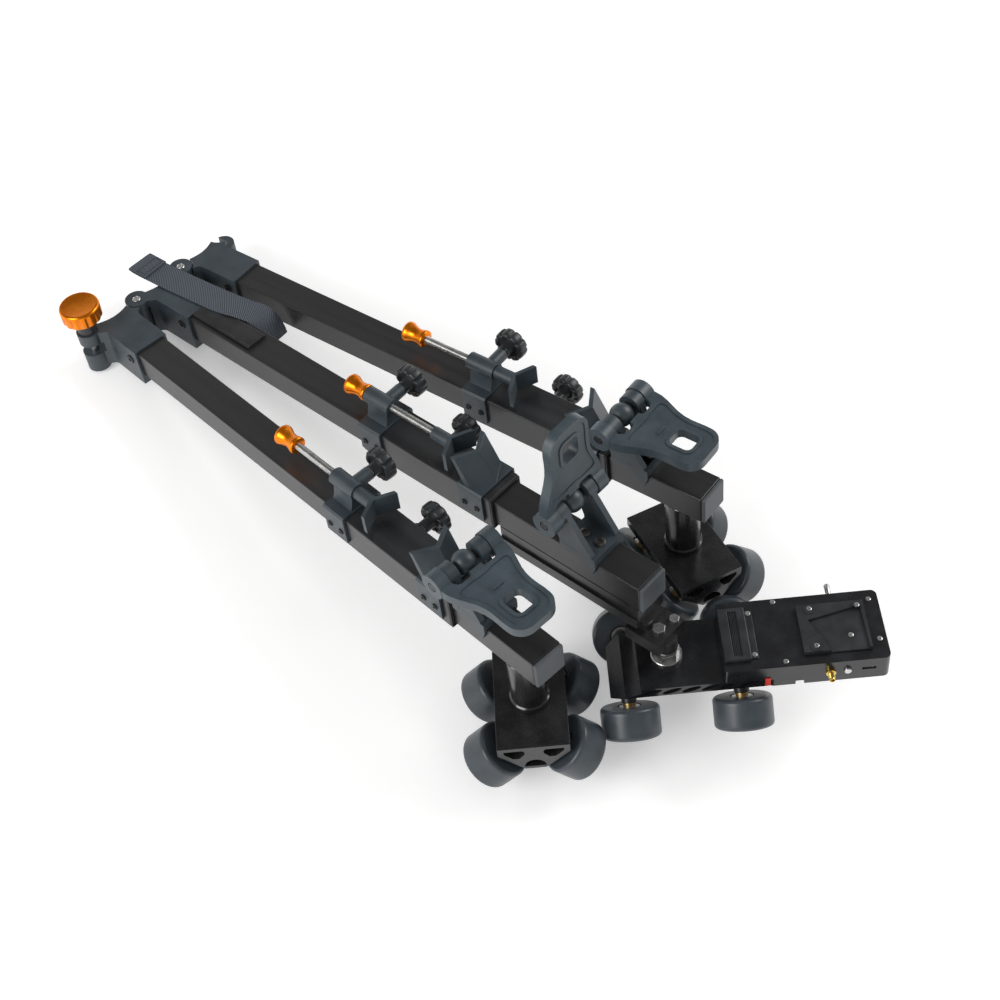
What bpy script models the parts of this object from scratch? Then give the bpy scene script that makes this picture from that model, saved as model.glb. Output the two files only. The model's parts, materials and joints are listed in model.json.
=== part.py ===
"""Folding tripod dolly with one powered truck, modelled folded and lying on the floor.

Three leg tubes meet at a hinged hub. Each leg carries a sliding sleeve that clamps one
foot of a camera tripod, a folding foot lever and a four-wheel truck for round rail.
Sizes are in millimetres and the helpers turn them into metres.
Leg coordinates: X runs from the hub outward along the tube, Z is up, and the origin is
in the middle of the tube at the front face of its hinge bracket.
"""
import math

import bmesh
import bpy
from mathutils import Matrix, Vector

for old_object in list(bpy.data.objects):
    bpy.data.objects.remove(old_object, do_unlink=True)

MM = 0.001
FIT = 0.3                      # gap between two pieces that rest on each other
OVERLAP = 1.0                  # how far shapes run into each other before a union

# Leg tubes
TUBE_WIDTH = 35.0
TUBE_HEIGHT = 32.0
TUBE_WALL = 2.5
SIDE_TUBE_LENGTH = 608.0
MIDDLE_TUBE_LENGTH = 624.0
CAP_THICKNESS = 4.0

# Hinge brackets and hub
PIN_SPACING = 65.5             # between the two hinge pins, and from pin to stud
PIN_SETBACK = 71.3             # pins behind the bracket's front face
PIN_RADIUS = 4.7
LUG_RADIUS = 13.0
SOCKET_LENGTH = 46.0
SOCKET_DEPTH = 40.0
SOCKET_WALL = 3.0
BRACKET_TOP = 18.5
BRACKET_BOTTOM = -27.0
EAR_THICKNESS = 9.0            # ears of the middle bracket, above and below a side lug
CLEVIS_GAP_TOP = 4.0
CLEVIS_GAP_BOTTOM = -9.0
CLEVIS_FOOT = -32.0
LEFT_FAN = math.radians(4.82)   # side legs spread this much while folded
RIGHT_FAN = math.radians(4.6)
HUB_KNOB_RADIUS = 22.0
HUB_KNOB_HEIGHT = 18.0
HUB_COLLAR_RADIUS = 13.0
HUB_COLLAR_HEIGHT = 18.5

# Sliding sleeves
SLEEVE_LENGTH = 175.0
SLEEVE_WALL = 3.8
BUSH_THICKNESS = 1.5
BUSH_STEP = 1.2                # bushes at both ends stand this much inside the sleeve
SIDE_SLEEVE_START = 322.0
MIDDLE_SLEEVE_START = 267.0
COLLAR_WALL = 2.7
COLLAR_DROP = -12.0            # lower edge of the skirts on a sleeve
SADDLE_LENGTH = 30.0
BARREL_RADIUS = 9.0
BARREL_HEIGHT = 42.5
BARREL_OVERHANG = 3.0
BLOCK_COLLAR_START = SLEEVE_LENGTH - 40.0
BLOCK_COLLAR_LENGTH = 32.0
BLOCK_LEAN = 14.0              # how far the V block leans back toward the hub
BLOCK_TOP = 55.0
V_HALF_WIDTH = 22.0
V_DEPTH = 13.0
V_PLATE = 4.5

# Push screws and jaws
ROD_RADIUS = 4.0
JAW_TRAVEL = 57.0
JAW_ROOT_RETRACTED = 54.5      # from the sleeve's start
GRIP_CENTRE = -128.0           # middle of the grip, from the jaw's root
GRIP_LENGTH = 25.6
SHANK_RADIUS = 7.0
SHANK_LENGTH = 19.0
JAW_BELOW = 14.5
JAW_ABOVE = 7.5
JAW_DEPTH = 10.5
JAW_HALF_WIDTH = 21.0
JAW_PLATE = 4.0

# Black lobed knobs
KNOB_RADIUS = 13.0
KNOB_THICKNESS = 8.0
KNOB_LOBES = 8
KNOB_STUD_RADIUS = 3.0
KNOB_NECK_RADIUS = 6.5
ROD_KNOB_SETBACK = 19.0        # from the sleeve's start
ROD_BOSS_END = 24.0
ROD_KNOB_FACE = 33.0
SLEEVE_KNOB_SETBACK = 79.0
SLEEVE_BOSS_END = 30.0
SLEEVE_KNOB_FACE = 45.0

# Foot levers
SIDE_LEVER_PIVOT = 504.0
MIDDLE_LEVER_PIVOT = 530.0
PIVOT_HEIGHT = 63.0
EYE_RADIUS = 11.5
LEVER_BASE_LENGTH = 42.0
LEVER_BASE_TOP = 25.0
CHEEK_HALF_WIDTH = 21.0
CHEEK_THICKNESS = 6.0
EYE_INNER = 8.0
EYE_OUTER = 25.0
LEVER_REACH = 100.0
LEVER_THICKNESS = 10.0
EAR_OUTER = 39.0
LEVER_EAR_RADIUS = 13.0
LEVER_TIP_HALF = 24.0
SLOT_CENTRE = 71.0
SLOT_LENGTH = 24.0
SLOT_WIDTH = 21.0
BALL_RADIUS = 7.5

# Trucks and wheels
WHEEL_RADIUS = 28.5
WHEEL_WIDTH = 30.0
WHEEL_BORE = 4.3
WHEEL_EDGE = 3.0
HUB_RADIUS = 11.0              # recess for the bearing ring on the inner face
HUB_RECESS = 3.0
HEAD_RECESS = 4.2
HUB_LEVEL = -110.0             # height of the middle of each wheel's inner face
AXLE_TILT = math.radians(45.0)
POST_SETBACK = 571.5
POST_RADIUS = 17.5
SIDE_TRUCK_TOP = -84.0
SIDE_TRUCK_LENGTH = 112.0
SIDE_TRUCK_HALF = 34.0
SIDE_TRUCK_SIDE = 11.0
SIDE_TRUCK_HEIGHT = 35.0
SIDE_WHEELBASE = 72.0
SIDE_HUB_OFFSET = 27.5
LEFT_TRUCK_TURN = math.radians(-41.4)
RIGHT_TRUCK_TURN = math.radians(-27.6)

# Powered truck
SWIVEL_SETBACK = 635.5
DRIVE_TRUCK_TURN = math.radians(44.0)
RAIL_START = 448.0
RAIL_END = 618.0
RAIL_BOTTOM = -42.0
SWIVEL_BLOCK_TOP = -50.0
SWIVEL_BLOCK_BOTTOM = -75.0
DRIVE_TOP = -90.0
DRIVE_BOTTOM = -124.0
DRIVE_HALF = 38.0
DRIVE_BAND = 12.0
DRIVE_NOSE = -57.0
DRIVE_FOLD = -28.5
DRIVE_TAIL = 91.0
DRIVE_WALL = 4.5
DRIVE_WHEELS = (-40.0, 66.7)
DRIVE_HUB_OFFSET = 40.0
WINDOW_COUNT = 7
WINDOW_PITCH = 18.5
WINDOW_FIRST = -36.0
BOX_START = 51.0
BOX_END = 205.0
BOX_HALF = 40.0
BOX_TOP = -71.0
BOX_BOTTOM = -100.0
PLATE_TOP = -66.0
SWITCH = (162.0, -82.0)         # along the truck, height
SWITCH_COLLAR = 3.0
SWITCH_COLLAR_RADIUS = 4.2
SWITCH_LENGTH = 16.0
BUTTON = (165.0, -84.0)
BUTTON_RADIUS = 3.4
BUTTON_PROUD = 2.6
BUTTON_POCKET = 1.8
STRAP_THICKNESS = 2.4

PARTS = bpy.data.collections.new("tripod_dolly")
CUTTERS = bpy.data.collections.new("cutters")
for collection in (PARTS, CUTTERS):
    bpy.context.scene.collection.children.link(collection)


# Helpers that make shapes
def workpiece(mesh):
    """A construction object that is later joined, cut or turned into a part."""
    shape = bpy.data.objects.new("workpiece", mesh)
    shape.hide_render = True
    shape.display_type = "WIRE"
    CUTTERS.objects.link(shape)
    return shape


def from_bmesh(bm):
    mesh = bpy.data.meshes.new("workpiece")
    bm.to_mesh(mesh)
    bm.free()
    return workpiece(mesh)


def evaluated(shape):
    """The shape's mesh with its modifiers, in the shape's own coordinates."""
    bpy.context.view_layer.update()
    depsgraph = bpy.context.evaluated_depsgraph_get()
    return bpy.data.meshes.new_from_object(shape.evaluated_get(depsgraph))


def discard(shape):
    data = shape.data
    bpy.data.objects.remove(shape, do_unlink=True)
    if isinstance(data, bpy.types.Curve):
        bpy.data.curves.remove(data)
    else:
        bpy.data.meshes.remove(data)


def welded(shape, matrix=None):
    """Bake a curve or a modified object into a closed mesh."""
    mesh = evaluated(shape)
    if matrix is not None:
        mesh.transform(matrix)
    discard(shape)
    bm = bmesh.new()
    bm.from_mesh(mesh)
    bpy.data.meshes.remove(mesh)
    bmesh.ops.remove_doubles(bm, verts=bm.verts, dist=0.00001)
    bmesh.ops.recalc_face_normals(bm, faces=bm.faces)
    return from_bmesh(bm)


def box(x, y, z, bevel=0.0, along="xyz"):
    """A block between two limits on each axis, with its edges along some axes bevelled."""
    bm = bmesh.new()
    bmesh.ops.create_cube(bm, size=1.0)
    for vert in bm.verts:
        for axis, limits in enumerate((x, y, z)):
            vert.co[axis] = (limits[0] + limits[1] + 2 * vert.co[axis] * (limits[1] - limits[0])) / 2 * MM
    if bevel:
        edges = []
        for edge in bm.edges:
            run = edge.verts[1].co - edge.verts[0].co
            longest = max(range(3), key=lambda axis: abs(run[axis]))
            if "xyz"[longest] in along:
                edges.append(edge)
        bmesh.ops.bevel(bm, geom=edges, offset=bevel * MM, offset_type="OFFSET", segments=1,
                        profile=0.5, affect="EDGES", clamp_overlap=True, material=-1)
    return from_bmesh(bm)


def cylinder(radius, start, end, segments=24, end_radius=None):
    """A cylinder or cone between two points."""
    start = Vector(start) * MM
    end = Vector(end) * MM
    run = end - start
    place = Matrix.Translation((start + end) / 2) @ run.to_track_quat("Z", "Y").to_matrix().to_4x4()
    bm = bmesh.new()
    bmesh.ops.create_cone(bm, cap_ends=True, segments=segments, radius1=radius * MM,
                          radius2=(radius if end_radius is None else end_radius) * MM,
                          depth=run.length, matrix=place)
    return from_bmesh(bm)


def ball(radius, centre):
    bm = bmesh.new()
    bmesh.ops.create_uvsphere(bm, u_segments=10, v_segments=6, radius=radius * MM,
                              matrix=Matrix.Translation(Vector(centre) * MM))
    return from_bmesh(bm)


def slab(outline, low, high, across="z", holes=()):
    """A flat outline given thickness across one axis. Outlines are (x, y), (x, z) or (y, z)."""
    curve = bpy.data.curves.new("outline", "CURVE")
    curve.dimensions = "2D"
    curve.fill_mode = "BOTH"
    curve.extrude = (high - low) / 2 * MM
    for loop in (outline, *holes):
        spline = curve.splines.new("POLY")
        spline.points.add(len(loop) - 1)
        for point, (a, b) in zip(spline.points, loop):
            point.co = (a * MM, b * MM, 0.0, 1.0)
        spline.use_cyclic_u = True
    shape = bpy.data.objects.new("outline", curve)
    CUTTERS.objects.link(shape)
    middle = (low + high) / 2 * MM
    if across == "z":
        place = Matrix.Translation((0, 0, middle))
    elif across == "y":
        place = Matrix.Translation((0, middle, 0)) @ Matrix.Rotation(math.pi / 2, 4, "X")
    else:
        upright = Matrix.Rotation(math.pi / 2, 4, "Z") @ Matrix.Rotation(math.pi / 2, 4, "X")
        place = Matrix.Translation((middle, 0, 0)) @ upright
    return welded(shape, place)


def turned(profile, origin=(0, 0, 0), axis=(0, 0, 1), steps=24, closed=False):
    """Spin a profile of (radius, height) points, listed top to bottom, about an axis."""
    mesh = bpy.data.meshes.new("profile")
    count = len(profile)
    edges = [(i, i + 1) for i in range(count - 1)]
    if closed:
        edges.append((count - 1, 0))
    mesh.from_pydata([(r * MM, 0.0, h * MM) for r, h in profile], edges, [])
    shape = workpiece(mesh)
    screw = shape.modifiers.new("spin", "SCREW")
    screw.axis = "Z"
    screw.angle = 2 * math.pi
    screw.steps = steps
    screw.render_steps = steps
    screw.use_merge_vertices = True
    screw.merge_threshold = 0.00001
    aim = Vector(axis).to_track_quat("Z", "Y").to_matrix().to_4x4()
    return welded(shape, Matrix.Translation(Vector(origin) * MM) @ aim)


def combine(first, others, operation):
    for other in others:
        step = first.modifiers.new(operation.lower(), "BOOLEAN")
        step.operation = operation
        step.solver = "EXACT"
        step.object = other
    mesh = evaluated(first)
    for used in (first, *others):
        discard(used)
    return workpiece(mesh)


def union(first, *others):
    return combine(first, others, "UNION")


def difference(first, *cutters):
    return combine(first, cutters, "DIFFERENCE")


def moved(shape, offset=(0, 0, 0), matrix=None):
    if matrix is not None:
        shape.data.transform(matrix)
    shape.data.transform(Matrix.Translation(Vector(offset) * MM))
    return shape


def finished(shape, name):
    """Take a shape's mesh as the mesh of a part."""
    bm = bmesh.new()
    bm.from_mesh(shape.data)
    discard(shape)
    bmesh.ops.remove_doubles(bm, verts=bm.verts, dist=0.000002)
    bmesh.ops.dissolve_degenerate(bm, edges=bm.edges, dist=0.000002)
    mesh = bpy.data.meshes.new(name)
    bm.to_mesh(mesh)
    bm.free()
    mesh.shade_smooth()
    mesh.set_sharp_from_angle(angle=math.radians(32))
    return mesh


def arc(centre, radius, start, end, steps):
    """Points along an arc, angles in degrees, counterclockwise when end is above start."""
    points = []
    for i in range(steps + 1):
        angle = math.radians(start + (end - start) * i / steps)
        points.append((centre[0] + radius * math.cos(angle), centre[1] + radius * math.sin(angle)))
    return points


def mirrored(points):
    """A half outline with y >= 0, closed by its own mirror image."""
    return points + [(x, -y) for x, y in reversed(points) if abs(y) > 0.001]


def lobed(radius, depth, lobes, steps):
    """Outline of a knob whose rim rises and falls."""
    points = []
    for i in range(steps):
        angle = 2 * math.pi * i / steps
        reach = radius - depth * (0.5 - 0.5 * math.cos(lobes * angle))
        points.append((reach * math.cos(angle), reach * math.sin(angle)))
    return points


# Helpers that place parts
def material(name, colour, roughness, metallic):
    look = bpy.data.materials.new(name)
    look.use_nodes = True
    shader = look.node_tree.nodes["Principled BSDF"]
    shader.inputs["Base Color"].default_value = (*colour, 1.0)
    shader.inputs["Roughness"].default_value = roughness
    shader.inputs["Metallic"].default_value = metallic
    look.diffuse_color = (*colour, 1.0)
    return look


BLACK_ANODISED = ((0.012, 0.012, 0.014), 0.38, 0.4)
CAST_GREY = ((0.045, 0.055, 0.065), 0.5, 0.3)
ORANGE = ((0.75, 0.16, 0.01), 0.35, 0.6)
STEEL = ((0.55, 0.55, 0.55), 0.3, 1.0)
BLACK_PLASTIC = ((0.02, 0.022, 0.025), 0.5, 0.0)
TYRE = ((0.035, 0.045, 0.055), 0.6, 0.0)
WEBBING = ((0.04, 0.045, 0.05), 0.9, 0.0)


def frame(name, parent, at=(0, 0, 0), turn=0.0):
    """An empty that carries a group of parts, turned about its own Z axis."""
    empty = bpy.data.objects.new(name, None)
    empty.empty_display_size = 0.02
    empty.location = Vector(at) * MM
    empty.rotation_euler = (0.0, 0.0, turn)
    empty.parent = parent
    PARTS.objects.link(empty)
    return empty


def part(name, mesh, look, parent, at=(0, 0, 0), turn=(0, 0, 0)):
    item = bpy.data.objects.new(name, mesh.copy())
    item.data.name = name
    item.data.materials.clear()
    item.data.materials.append(material(name, *look))
    item.location = Vector(at) * MM
    item.rotation_euler = turn
    item.parent = parent
    PARTS.objects.link(item)
    return item


# Leg tube, cut square, with a plug in its outer end
def leg_tube(length):
    half_width = TUBE_WIDTH / 2
    half_height = TUBE_HEIGHT / 2
    mouth = length - CAP_THICKNESS
    bore_width = half_width - TUBE_WALL
    bore_height = half_height - TUBE_WALL
    walls = box((-SOCKET_DEPTH, mouth), (-half_width, half_width), (-half_height, half_height), 1.0, "x")
    bore = box((-SOCKET_DEPTH - OVERLAP, mouth + OVERLAP), (-bore_width, bore_width), (-bore_height, bore_height))
    plug = box((mouth - OVERLAP, length), (0.1 - half_width, half_width - 0.1), (0.1 - half_height, half_height - 0.1), 1.5)
    return finished(union(difference(walls, bore), plug), "leg_tube")


# Hinge brackets: a socket for the tube and a plate with two round lugs behind it
LUG_Y = PIN_SPACING / 2
LEFT_LUG = (-PIN_SETBACK, -LUG_Y)
RIGHT_LUG = (-PIN_SETBACK, LUG_Y)
SOCKET_HALF = TUBE_WIDTH / 2 + SOCKET_WALL
LUG_TOP = BRACKET_TOP - EAR_THICKNESS - FIT
LUG_BOTTOM = BRACKET_BOTTOM + EAR_THICKNESS + FIT
REAR_EDGE = -PIN_SETBACK - 0.7
REAR_HOLLOW = 5.0              # depth of the curve between the lugs
LUG_CLEARANCE = 1.5


def hinge_outline():
    """Plan of the plate: two lugs, flared arms and a hollow rear edge."""
    half = [(-SOCKET_LENGTH / 2, SOCKET_HALF), (-SOCKET_LENGTH - 2, SOCKET_HALF),
            (-SOCKET_LENGTH - 9, SOCKET_HALF + 3)]
    half += arc(RIGHT_LUG, LUG_RADIUS, -18, 266, 9)
    rear_half = LUG_Y - LUG_RADIUS
    for i in range(4):
        y = rear_half * (1 - i / 3)
        half.append((REAR_EDGE + REAR_HOLLOW * math.cos(math.pi / 2 * y / (rear_half + 1)), y))
    return mirrored(half)


def bracket_body():
    plate = slab(hinge_outline(), BRACKET_BOTTOM, BRACKET_TOP)
    socket = box((-SOCKET_LENGTH, 0), (-SOCKET_HALF, SOCKET_HALF), (BRACKET_BOTTOM - 0.01, BRACKET_TOP + 0.01))
    return union(plate, socket)


def tube_socket():
    half_width = TUBE_WIDTH / 2 + FIT
    half_height = TUBE_HEIGHT / 2 + FIT
    return box((-SOCKET_DEPTH - FIT, OVERLAP), (-half_width, half_width), (-half_height, half_height))


def upright_bore(at, radius, low, high, segments=12):
    return cylinder(radius, (*at, low), (*at, high), segments)


def middle_bracket():
    body = difference(
        bracket_body(),
        tube_socket(),
        upright_bore(LEFT_LUG, LUG_RADIUS + LUG_CLEARANCE, LUG_BOTTOM - FIT, LUG_TOP + FIT),
        upright_bore(RIGHT_LUG, LUG_RADIUS + LUG_CLEARANCE, LUG_BOTTOM - FIT, LUG_TOP + FIT),
        upright_bore(LEFT_LUG, PIN_RADIUS + FIT, BRACKET_BOTTOM - 5, BRACKET_TOP + 5),
        upright_bore(RIGHT_LUG, PIN_RADIUS + FIT, BRACKET_BOTTOM - 5, BRACKET_TOP + 5),
    )
    return finished(body, "middle_hinge_bracket")


def hinge_pin():
    return finished(upright_bore((0, 0), PIN_RADIUS, BRACKET_BOTTOM, BRACKET_TOP + 0.6), "hinge_pin")


def side_bracket(pin_lug, hub_lug, name):
    """A side leg's bracket, cut away round its pin so that the middle one's ears pass."""
    ear_room = LUG_RADIUS + LUG_CLEARANCE
    below = BRACKET_BOTTOM - 10
    above = BRACKET_TOP + 10
    cuts = [
        tube_socket(),
        upright_bore(pin_lug, ear_room, LUG_TOP, above),
        upright_bore(pin_lug, ear_room, below, LUG_BOTTOM),
        upright_bore(pin_lug, PIN_RADIUS + FIT, below, above),
    ]
    body = bracket_body()
    hub_room = LUG_RADIUS + 3.0
    if name == "left":
        body = union(body, upright_bore(hub_lug, LUG_RADIUS, CLEVIS_FOOT, BRACKET_BOTTOM + 8, 26))
        cuts.append(upright_bore(hub_lug, hub_room, CLEVIS_GAP_BOTTOM, CLEVIS_GAP_TOP))
        cuts.append(upright_bore(hub_lug, PIN_RADIUS + FIT, CLEVIS_FOOT - 5, above))
    else:
        cuts.append(upright_bore(hub_lug, hub_room, CLEVIS_GAP_TOP - FIT, above))
        cuts.append(upright_bore(hub_lug, hub_room, below, CLEVIS_GAP_BOTTOM + FIT))
        cuts.append(upright_bore(hub_lug, PIN_RADIUS + FIT, below, above))
        cuts.append(box((hub_lug[0] - 2 * LUG_RADIUS, hub_lug[0]),
                        (hub_lug[1] - PIN_RADIUS - FIT, hub_lug[1] + PIN_RADIUS + FIT), (below, above)))
    return finished(difference(body, *cuts), name + "_hinge_bracket")


def hub_knob():
    """Orange grip, black collar and the stud that pulls the open hub together."""
    collar_bottom = BRACKET_TOP + FIT
    collar_top = collar_bottom + HUB_COLLAR_HEIGHT
    grip = slab(lobed(HUB_KNOB_RADIUS, 1.6, 10, 30), collar_top, collar_top + HUB_KNOB_HEIGHT)
    stem = turned([(0, collar_top + 1), (HUB_COLLAR_RADIUS - 2, collar_top + 1), (HUB_COLLAR_RADIUS, collar_bottom),
                   (PIN_RADIUS, collar_bottom), (PIN_RADIUS, CLEVIS_FOOT + 1), (0, CLEVIS_FOOT + 1)])
    return finished(union(grip, stem), "hub_knob")


# Sleeve that slides on a leg tube, in coordinates from its hub end
SLEEVE_BORE_Y = TUBE_WIDTH / 2 + FIT
SLEEVE_BORE_Z = TUBE_HEIGHT / 2 + FIT
SLEEVE_HALF_Y = SLEEVE_BORE_Y + SLEEVE_WALL
SLEEVE_HALF_Z = SLEEVE_BORE_Z + SLEEVE_WALL
COLLAR_INNER = SLEEVE_HALF_Y + FIT
COLLAR_HALF = COLLAR_INNER + COLLAR_WALL
COLLAR_SEAT = SLEEVE_HALF_Z + FIT
COLLAR_TOP = COLLAR_SEAT + COLLAR_WALL


def sleeve_tube():
    bush_y = SLEEVE_HALF_Y - BUSH_STEP
    bush_z = SLEEVE_HALF_Z - BUSH_STEP
    bush_end = SLEEVE_LENGTH + BUSH_THICKNESS
    shell = union(
        box((0, SLEEVE_LENGTH), (-SLEEVE_HALF_Y, SLEEVE_HALF_Y), (-SLEEVE_HALF_Z, SLEEVE_HALF_Z), 1.5, "x"),
        box((-BUSH_THICKNESS, bush_end), (-bush_y, bush_y), (-bush_z, bush_z)),
        cylinder(8, (SLEEVE_KNOB_SETBACK, SLEEVE_HALF_Y - OVERLAP, 0), (SLEEVE_KNOB_SETBACK, SLEEVE_BOSS_END, 0), 12),
    )
    shell = difference(
        shell,
        box((-OVERLAP - BUSH_THICKNESS, bush_end + OVERLAP), (-SLEEVE_BORE_Y, SLEEVE_BORE_Y), (-SLEEVE_BORE_Z, SLEEVE_BORE_Z)),
        cylinder(KNOB_STUD_RADIUS + FIT, (SLEEVE_KNOB_SETBACK, SLEEVE_BORE_Y - OVERLAP, 0),
                 (SLEEVE_KNOB_SETBACK, SLEEVE_BOSS_END + OVERLAP, 0), 8),
    )
    return finished(shell, "sleeve_tube")


def collar_outline():
    """Section of a saddle that sits over the sleeve, as (y, z)."""
    return [(COLLAR_HALF, COLLAR_DROP), (COLLAR_HALF, COLLAR_TOP - 2), (COLLAR_HALF - 2, COLLAR_TOP),
            (2 - COLLAR_HALF, COLLAR_TOP), (-COLLAR_HALF, COLLAR_TOP - 2), (-COLLAR_HALF, COLLAR_DROP),
            (-COLLAR_INNER, COLLAR_DROP), (-COLLAR_INNER, COLLAR_SEAT), (COLLAR_INNER, COLLAR_SEAT),
            (COLLAR_INNER, COLLAR_DROP)]


def clamp_saddle():
    """Collar with a web and a barrel that the push screw runs through."""
    web = [(-12, COLLAR_TOP - OVERLAP), (12, COLLAR_TOP - OVERLAP), (BARREL_RADIUS - 2, BARREL_HEIGHT),
           (2 - BARREL_RADIUS, BARREL_HEIGHT)]
    body = union(
        slab(collar_outline(), 0, SADDLE_LENGTH, "x"),
        slab(web, 1.5, SADDLE_LENGTH - 1.5, "x"),
        cylinder(BARREL_RADIUS, (-BARREL_OVERHANG, 0, BARREL_HEIGHT), (SADDLE_LENGTH, 0, BARREL_HEIGHT), 16),
        cylinder(7, (ROD_KNOB_SETBACK, 0, BARREL_HEIGHT), (ROD_KNOB_SETBACK, ROD_BOSS_END, BARREL_HEIGHT), 12),
    )
    return finished(difference(
        body,
        cylinder(ROD_RADIUS + FIT, (-BARREL_OVERHANG - OVERLAP, 0, BARREL_HEIGHT),
                 (SADDLE_LENGTH + OVERLAP, 0, BARREL_HEIGHT), 12),
        cylinder(KNOB_STUD_RADIUS + FIT, (ROD_KNOB_SETBACK, 2, BARREL_HEIGHT),
                 (ROD_KNOB_SETBACK, ROD_BOSS_END + OVERLAP, BARREL_HEIGHT), 8),
    ), "clamp_saddle")


def v_outline(root, tip, half_width, plate):
    """Plan of a V plate with its point at root and its two tips at tip."""
    slope = (root - tip) / half_width
    thick = plate * math.hypot(1, slope)
    return [(root, 0), (tip, -half_width), (tip + thick, -half_width), (root + thick, 0),
            (tip + thick, half_width), (tip, half_width)]


def v_block():
    """Collar with a V of two plates that leans toward the hub."""
    root = SLEEVE_LENGTH - 18.0
    lean = Matrix.Identity(4)
    rise = BLOCK_TOP - COLLAR_TOP + OVERLAP
    lean[0][2] = -BLOCK_LEAN / rise
    base = COLLAR_TOP - OVERLAP
    vee = slab(v_outline(root, root - V_DEPTH, V_HALF_WIDTH, V_PLATE), 0, rise)
    vee = moved(vee, (0, 0, base), lean)
    collar = slab(collar_outline(), BLOCK_COLLAR_START, BLOCK_COLLAR_START + BLOCK_COLLAR_LENGTH, "x")
    rib = [(root - 2, base), (root + 9, base), (root + 1 - BLOCK_LEAN * 0.6, base + rise * 0.62),
           (root - BLOCK_LEAN * 0.6, base + rise * 0.62)]
    return finished(union(collar, vee, slab(rib, -2.5, 2.5, "y")), "v_block")


# Push screw and jaw, in coordinates from the root of the jaw's V on the screw's axis
def push_screw():
    grip_near = GRIP_CENTRE + GRIP_LENGTH / 2
    grip_far = GRIP_CENTRE - GRIP_LENGTH / 2
    profile = [(0, -4), (ROD_RADIUS, -4), (ROD_RADIUS, grip_near), (8.6, grip_near), (9.2, grip_near - 3),
               (7.0, grip_near - 10), (7.4, grip_near - 15), (10.7, grip_far + 5), (10.7, grip_far + 1), (9.7, grip_far),
               (0, grip_far)]
    return finished(turned(profile, axis=(1, 0, 0), steps=12), "push_screw")


def v_jaw():
    plate = slab(v_outline(0, JAW_DEPTH, JAW_HALF_WIDTH, -JAW_PLATE), -JAW_BELOW, JAW_ABOVE)
    shank = cylinder(SHANK_RADIUS, (-SHANK_LENGTH, 0, 0), (-2, 0, 0), 14)
    bore = cylinder(ROD_RADIUS + FIT, (-SHANK_LENGTH - OVERLAP, 0, 0), (FIT - 4, 0, 0), 12)
    return finished(difference(union(plate, shank), bore), "v_jaw")


def lobed_knob(stud_start, neck_start, face, name):
    """Black knob on a stud along Y."""
    grip = slab(lobed(KNOB_RADIUS, 2.4, KNOB_LOBES, 24), face, face + KNOB_THICKNESS, "y")
    stem = turned([(0, face + 2), (KNOB_NECK_RADIUS, face + 2), (KNOB_NECK_RADIUS, neck_start),
                   (KNOB_STUD_RADIUS, neck_start), (KNOB_STUD_RADIUS, stud_start), (0, stud_start)],
                  axis=(0, 1, 0), steps=8)
    return finished(union(grip, stem), name)


# Foot lever and its bracket, in coordinates from the pivot along the leg
def lever_bracket():
    base = box((0, LEVER_BASE_LENGTH), (-CHEEK_HALF_WIDTH, CHEEK_HALF_WIDTH), (TUBE_HEIGHT / 2 + FIT, LEVER_BASE_TOP))
    cheek_inner = CHEEK_HALF_WIDTH - CHEEK_THICKNESS
    cheek = [(0, LEVER_BASE_TOP - 4), (LEVER_BASE_LENGTH - 4, LEVER_BASE_TOP - 4), (LEVER_BASE_LENGTH - 4, LEVER_BASE_TOP + 1)]
    cheek += arc((0, PIVOT_HEIGHT), EYE_RADIUS - 0.3, 35, 197, 6)
    cheek += [(0, LEVER_BASE_TOP + 4)]
    skirt = [(16, LEVER_BASE_TOP - 2), (LEVER_BASE_LENGTH, LEVER_BASE_TOP - 2), (LEVER_BASE_LENGTH, 14), (38, 3), (33, 7)]
    shapes = []
    for side in (-1, 1):
        for outline, inner, outer in ((cheek, cheek_inner, CHEEK_HALF_WIDTH - 0.1),
                                      (skirt, TUBE_WIDTH / 2 + FIT, CHEEK_HALF_WIDTH - 0.2)):
            low, high = sorted((side * inner, side * outer))
            shapes.append(slab(outline, low, high, "y"))
        shapes.append(cylinder(EYE_RADIUS + 0.3, (0, side * EYE_INNER, PIVOT_HEIGHT), (0, side * EYE_OUTER, PIVOT_HEIGHT), 14))
    pin = cylinder(PIN_RADIUS, (0, -EAR_OUTER, PIVOT_HEIGHT), (0, EAR_OUTER, PIVOT_HEIGHT), 10)
    return finished(union(base, *shapes, pin, ball(BALL_RADIUS, (0, 0, PIVOT_HEIGHT))), "lever_bracket")


def lever_outline():
    """Plan of the lever: two ears, a tapering plate and a rounded tip."""
    ear_inner = EYE_OUTER + 0.7
    notch = LEVER_EAR_RADIUS + 5
    half = [(LEVER_REACH, LEVER_TIP_HALF - 10)]
    half += arc((LEVER_REACH - 9, LEVER_TIP_HALF - 9), 9, 30, 80, 3)
    half += [(SLOT_CENTRE - 10, 27), (SLOT_CENTRE - 34, 32), (24, 36), (14, EAR_OUTER - 0.5)]
    half += [(0, EAR_OUTER - 0.5), (0, ear_inner + 0.2), (notch - 4, ear_inner + 0.2), (notch + 2, ear_inner - 6)]
    half += [(notch + 2, 9), (notch - 3, 7)]
    return mirrored(half)


def rounded_rectangle(centre, length, width, radius):
    points = []
    for quadrant, (sx, sy) in enumerate(((1, 1), (-1, 1), (-1, -1), (1, -1))):
        corner = (centre + sx * (length / 2 - radius), sy * (width / 2 - radius))
        points += arc(corner, radius, 90 * quadrant, 90 * quadrant + 90, 2)
    return points


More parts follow.
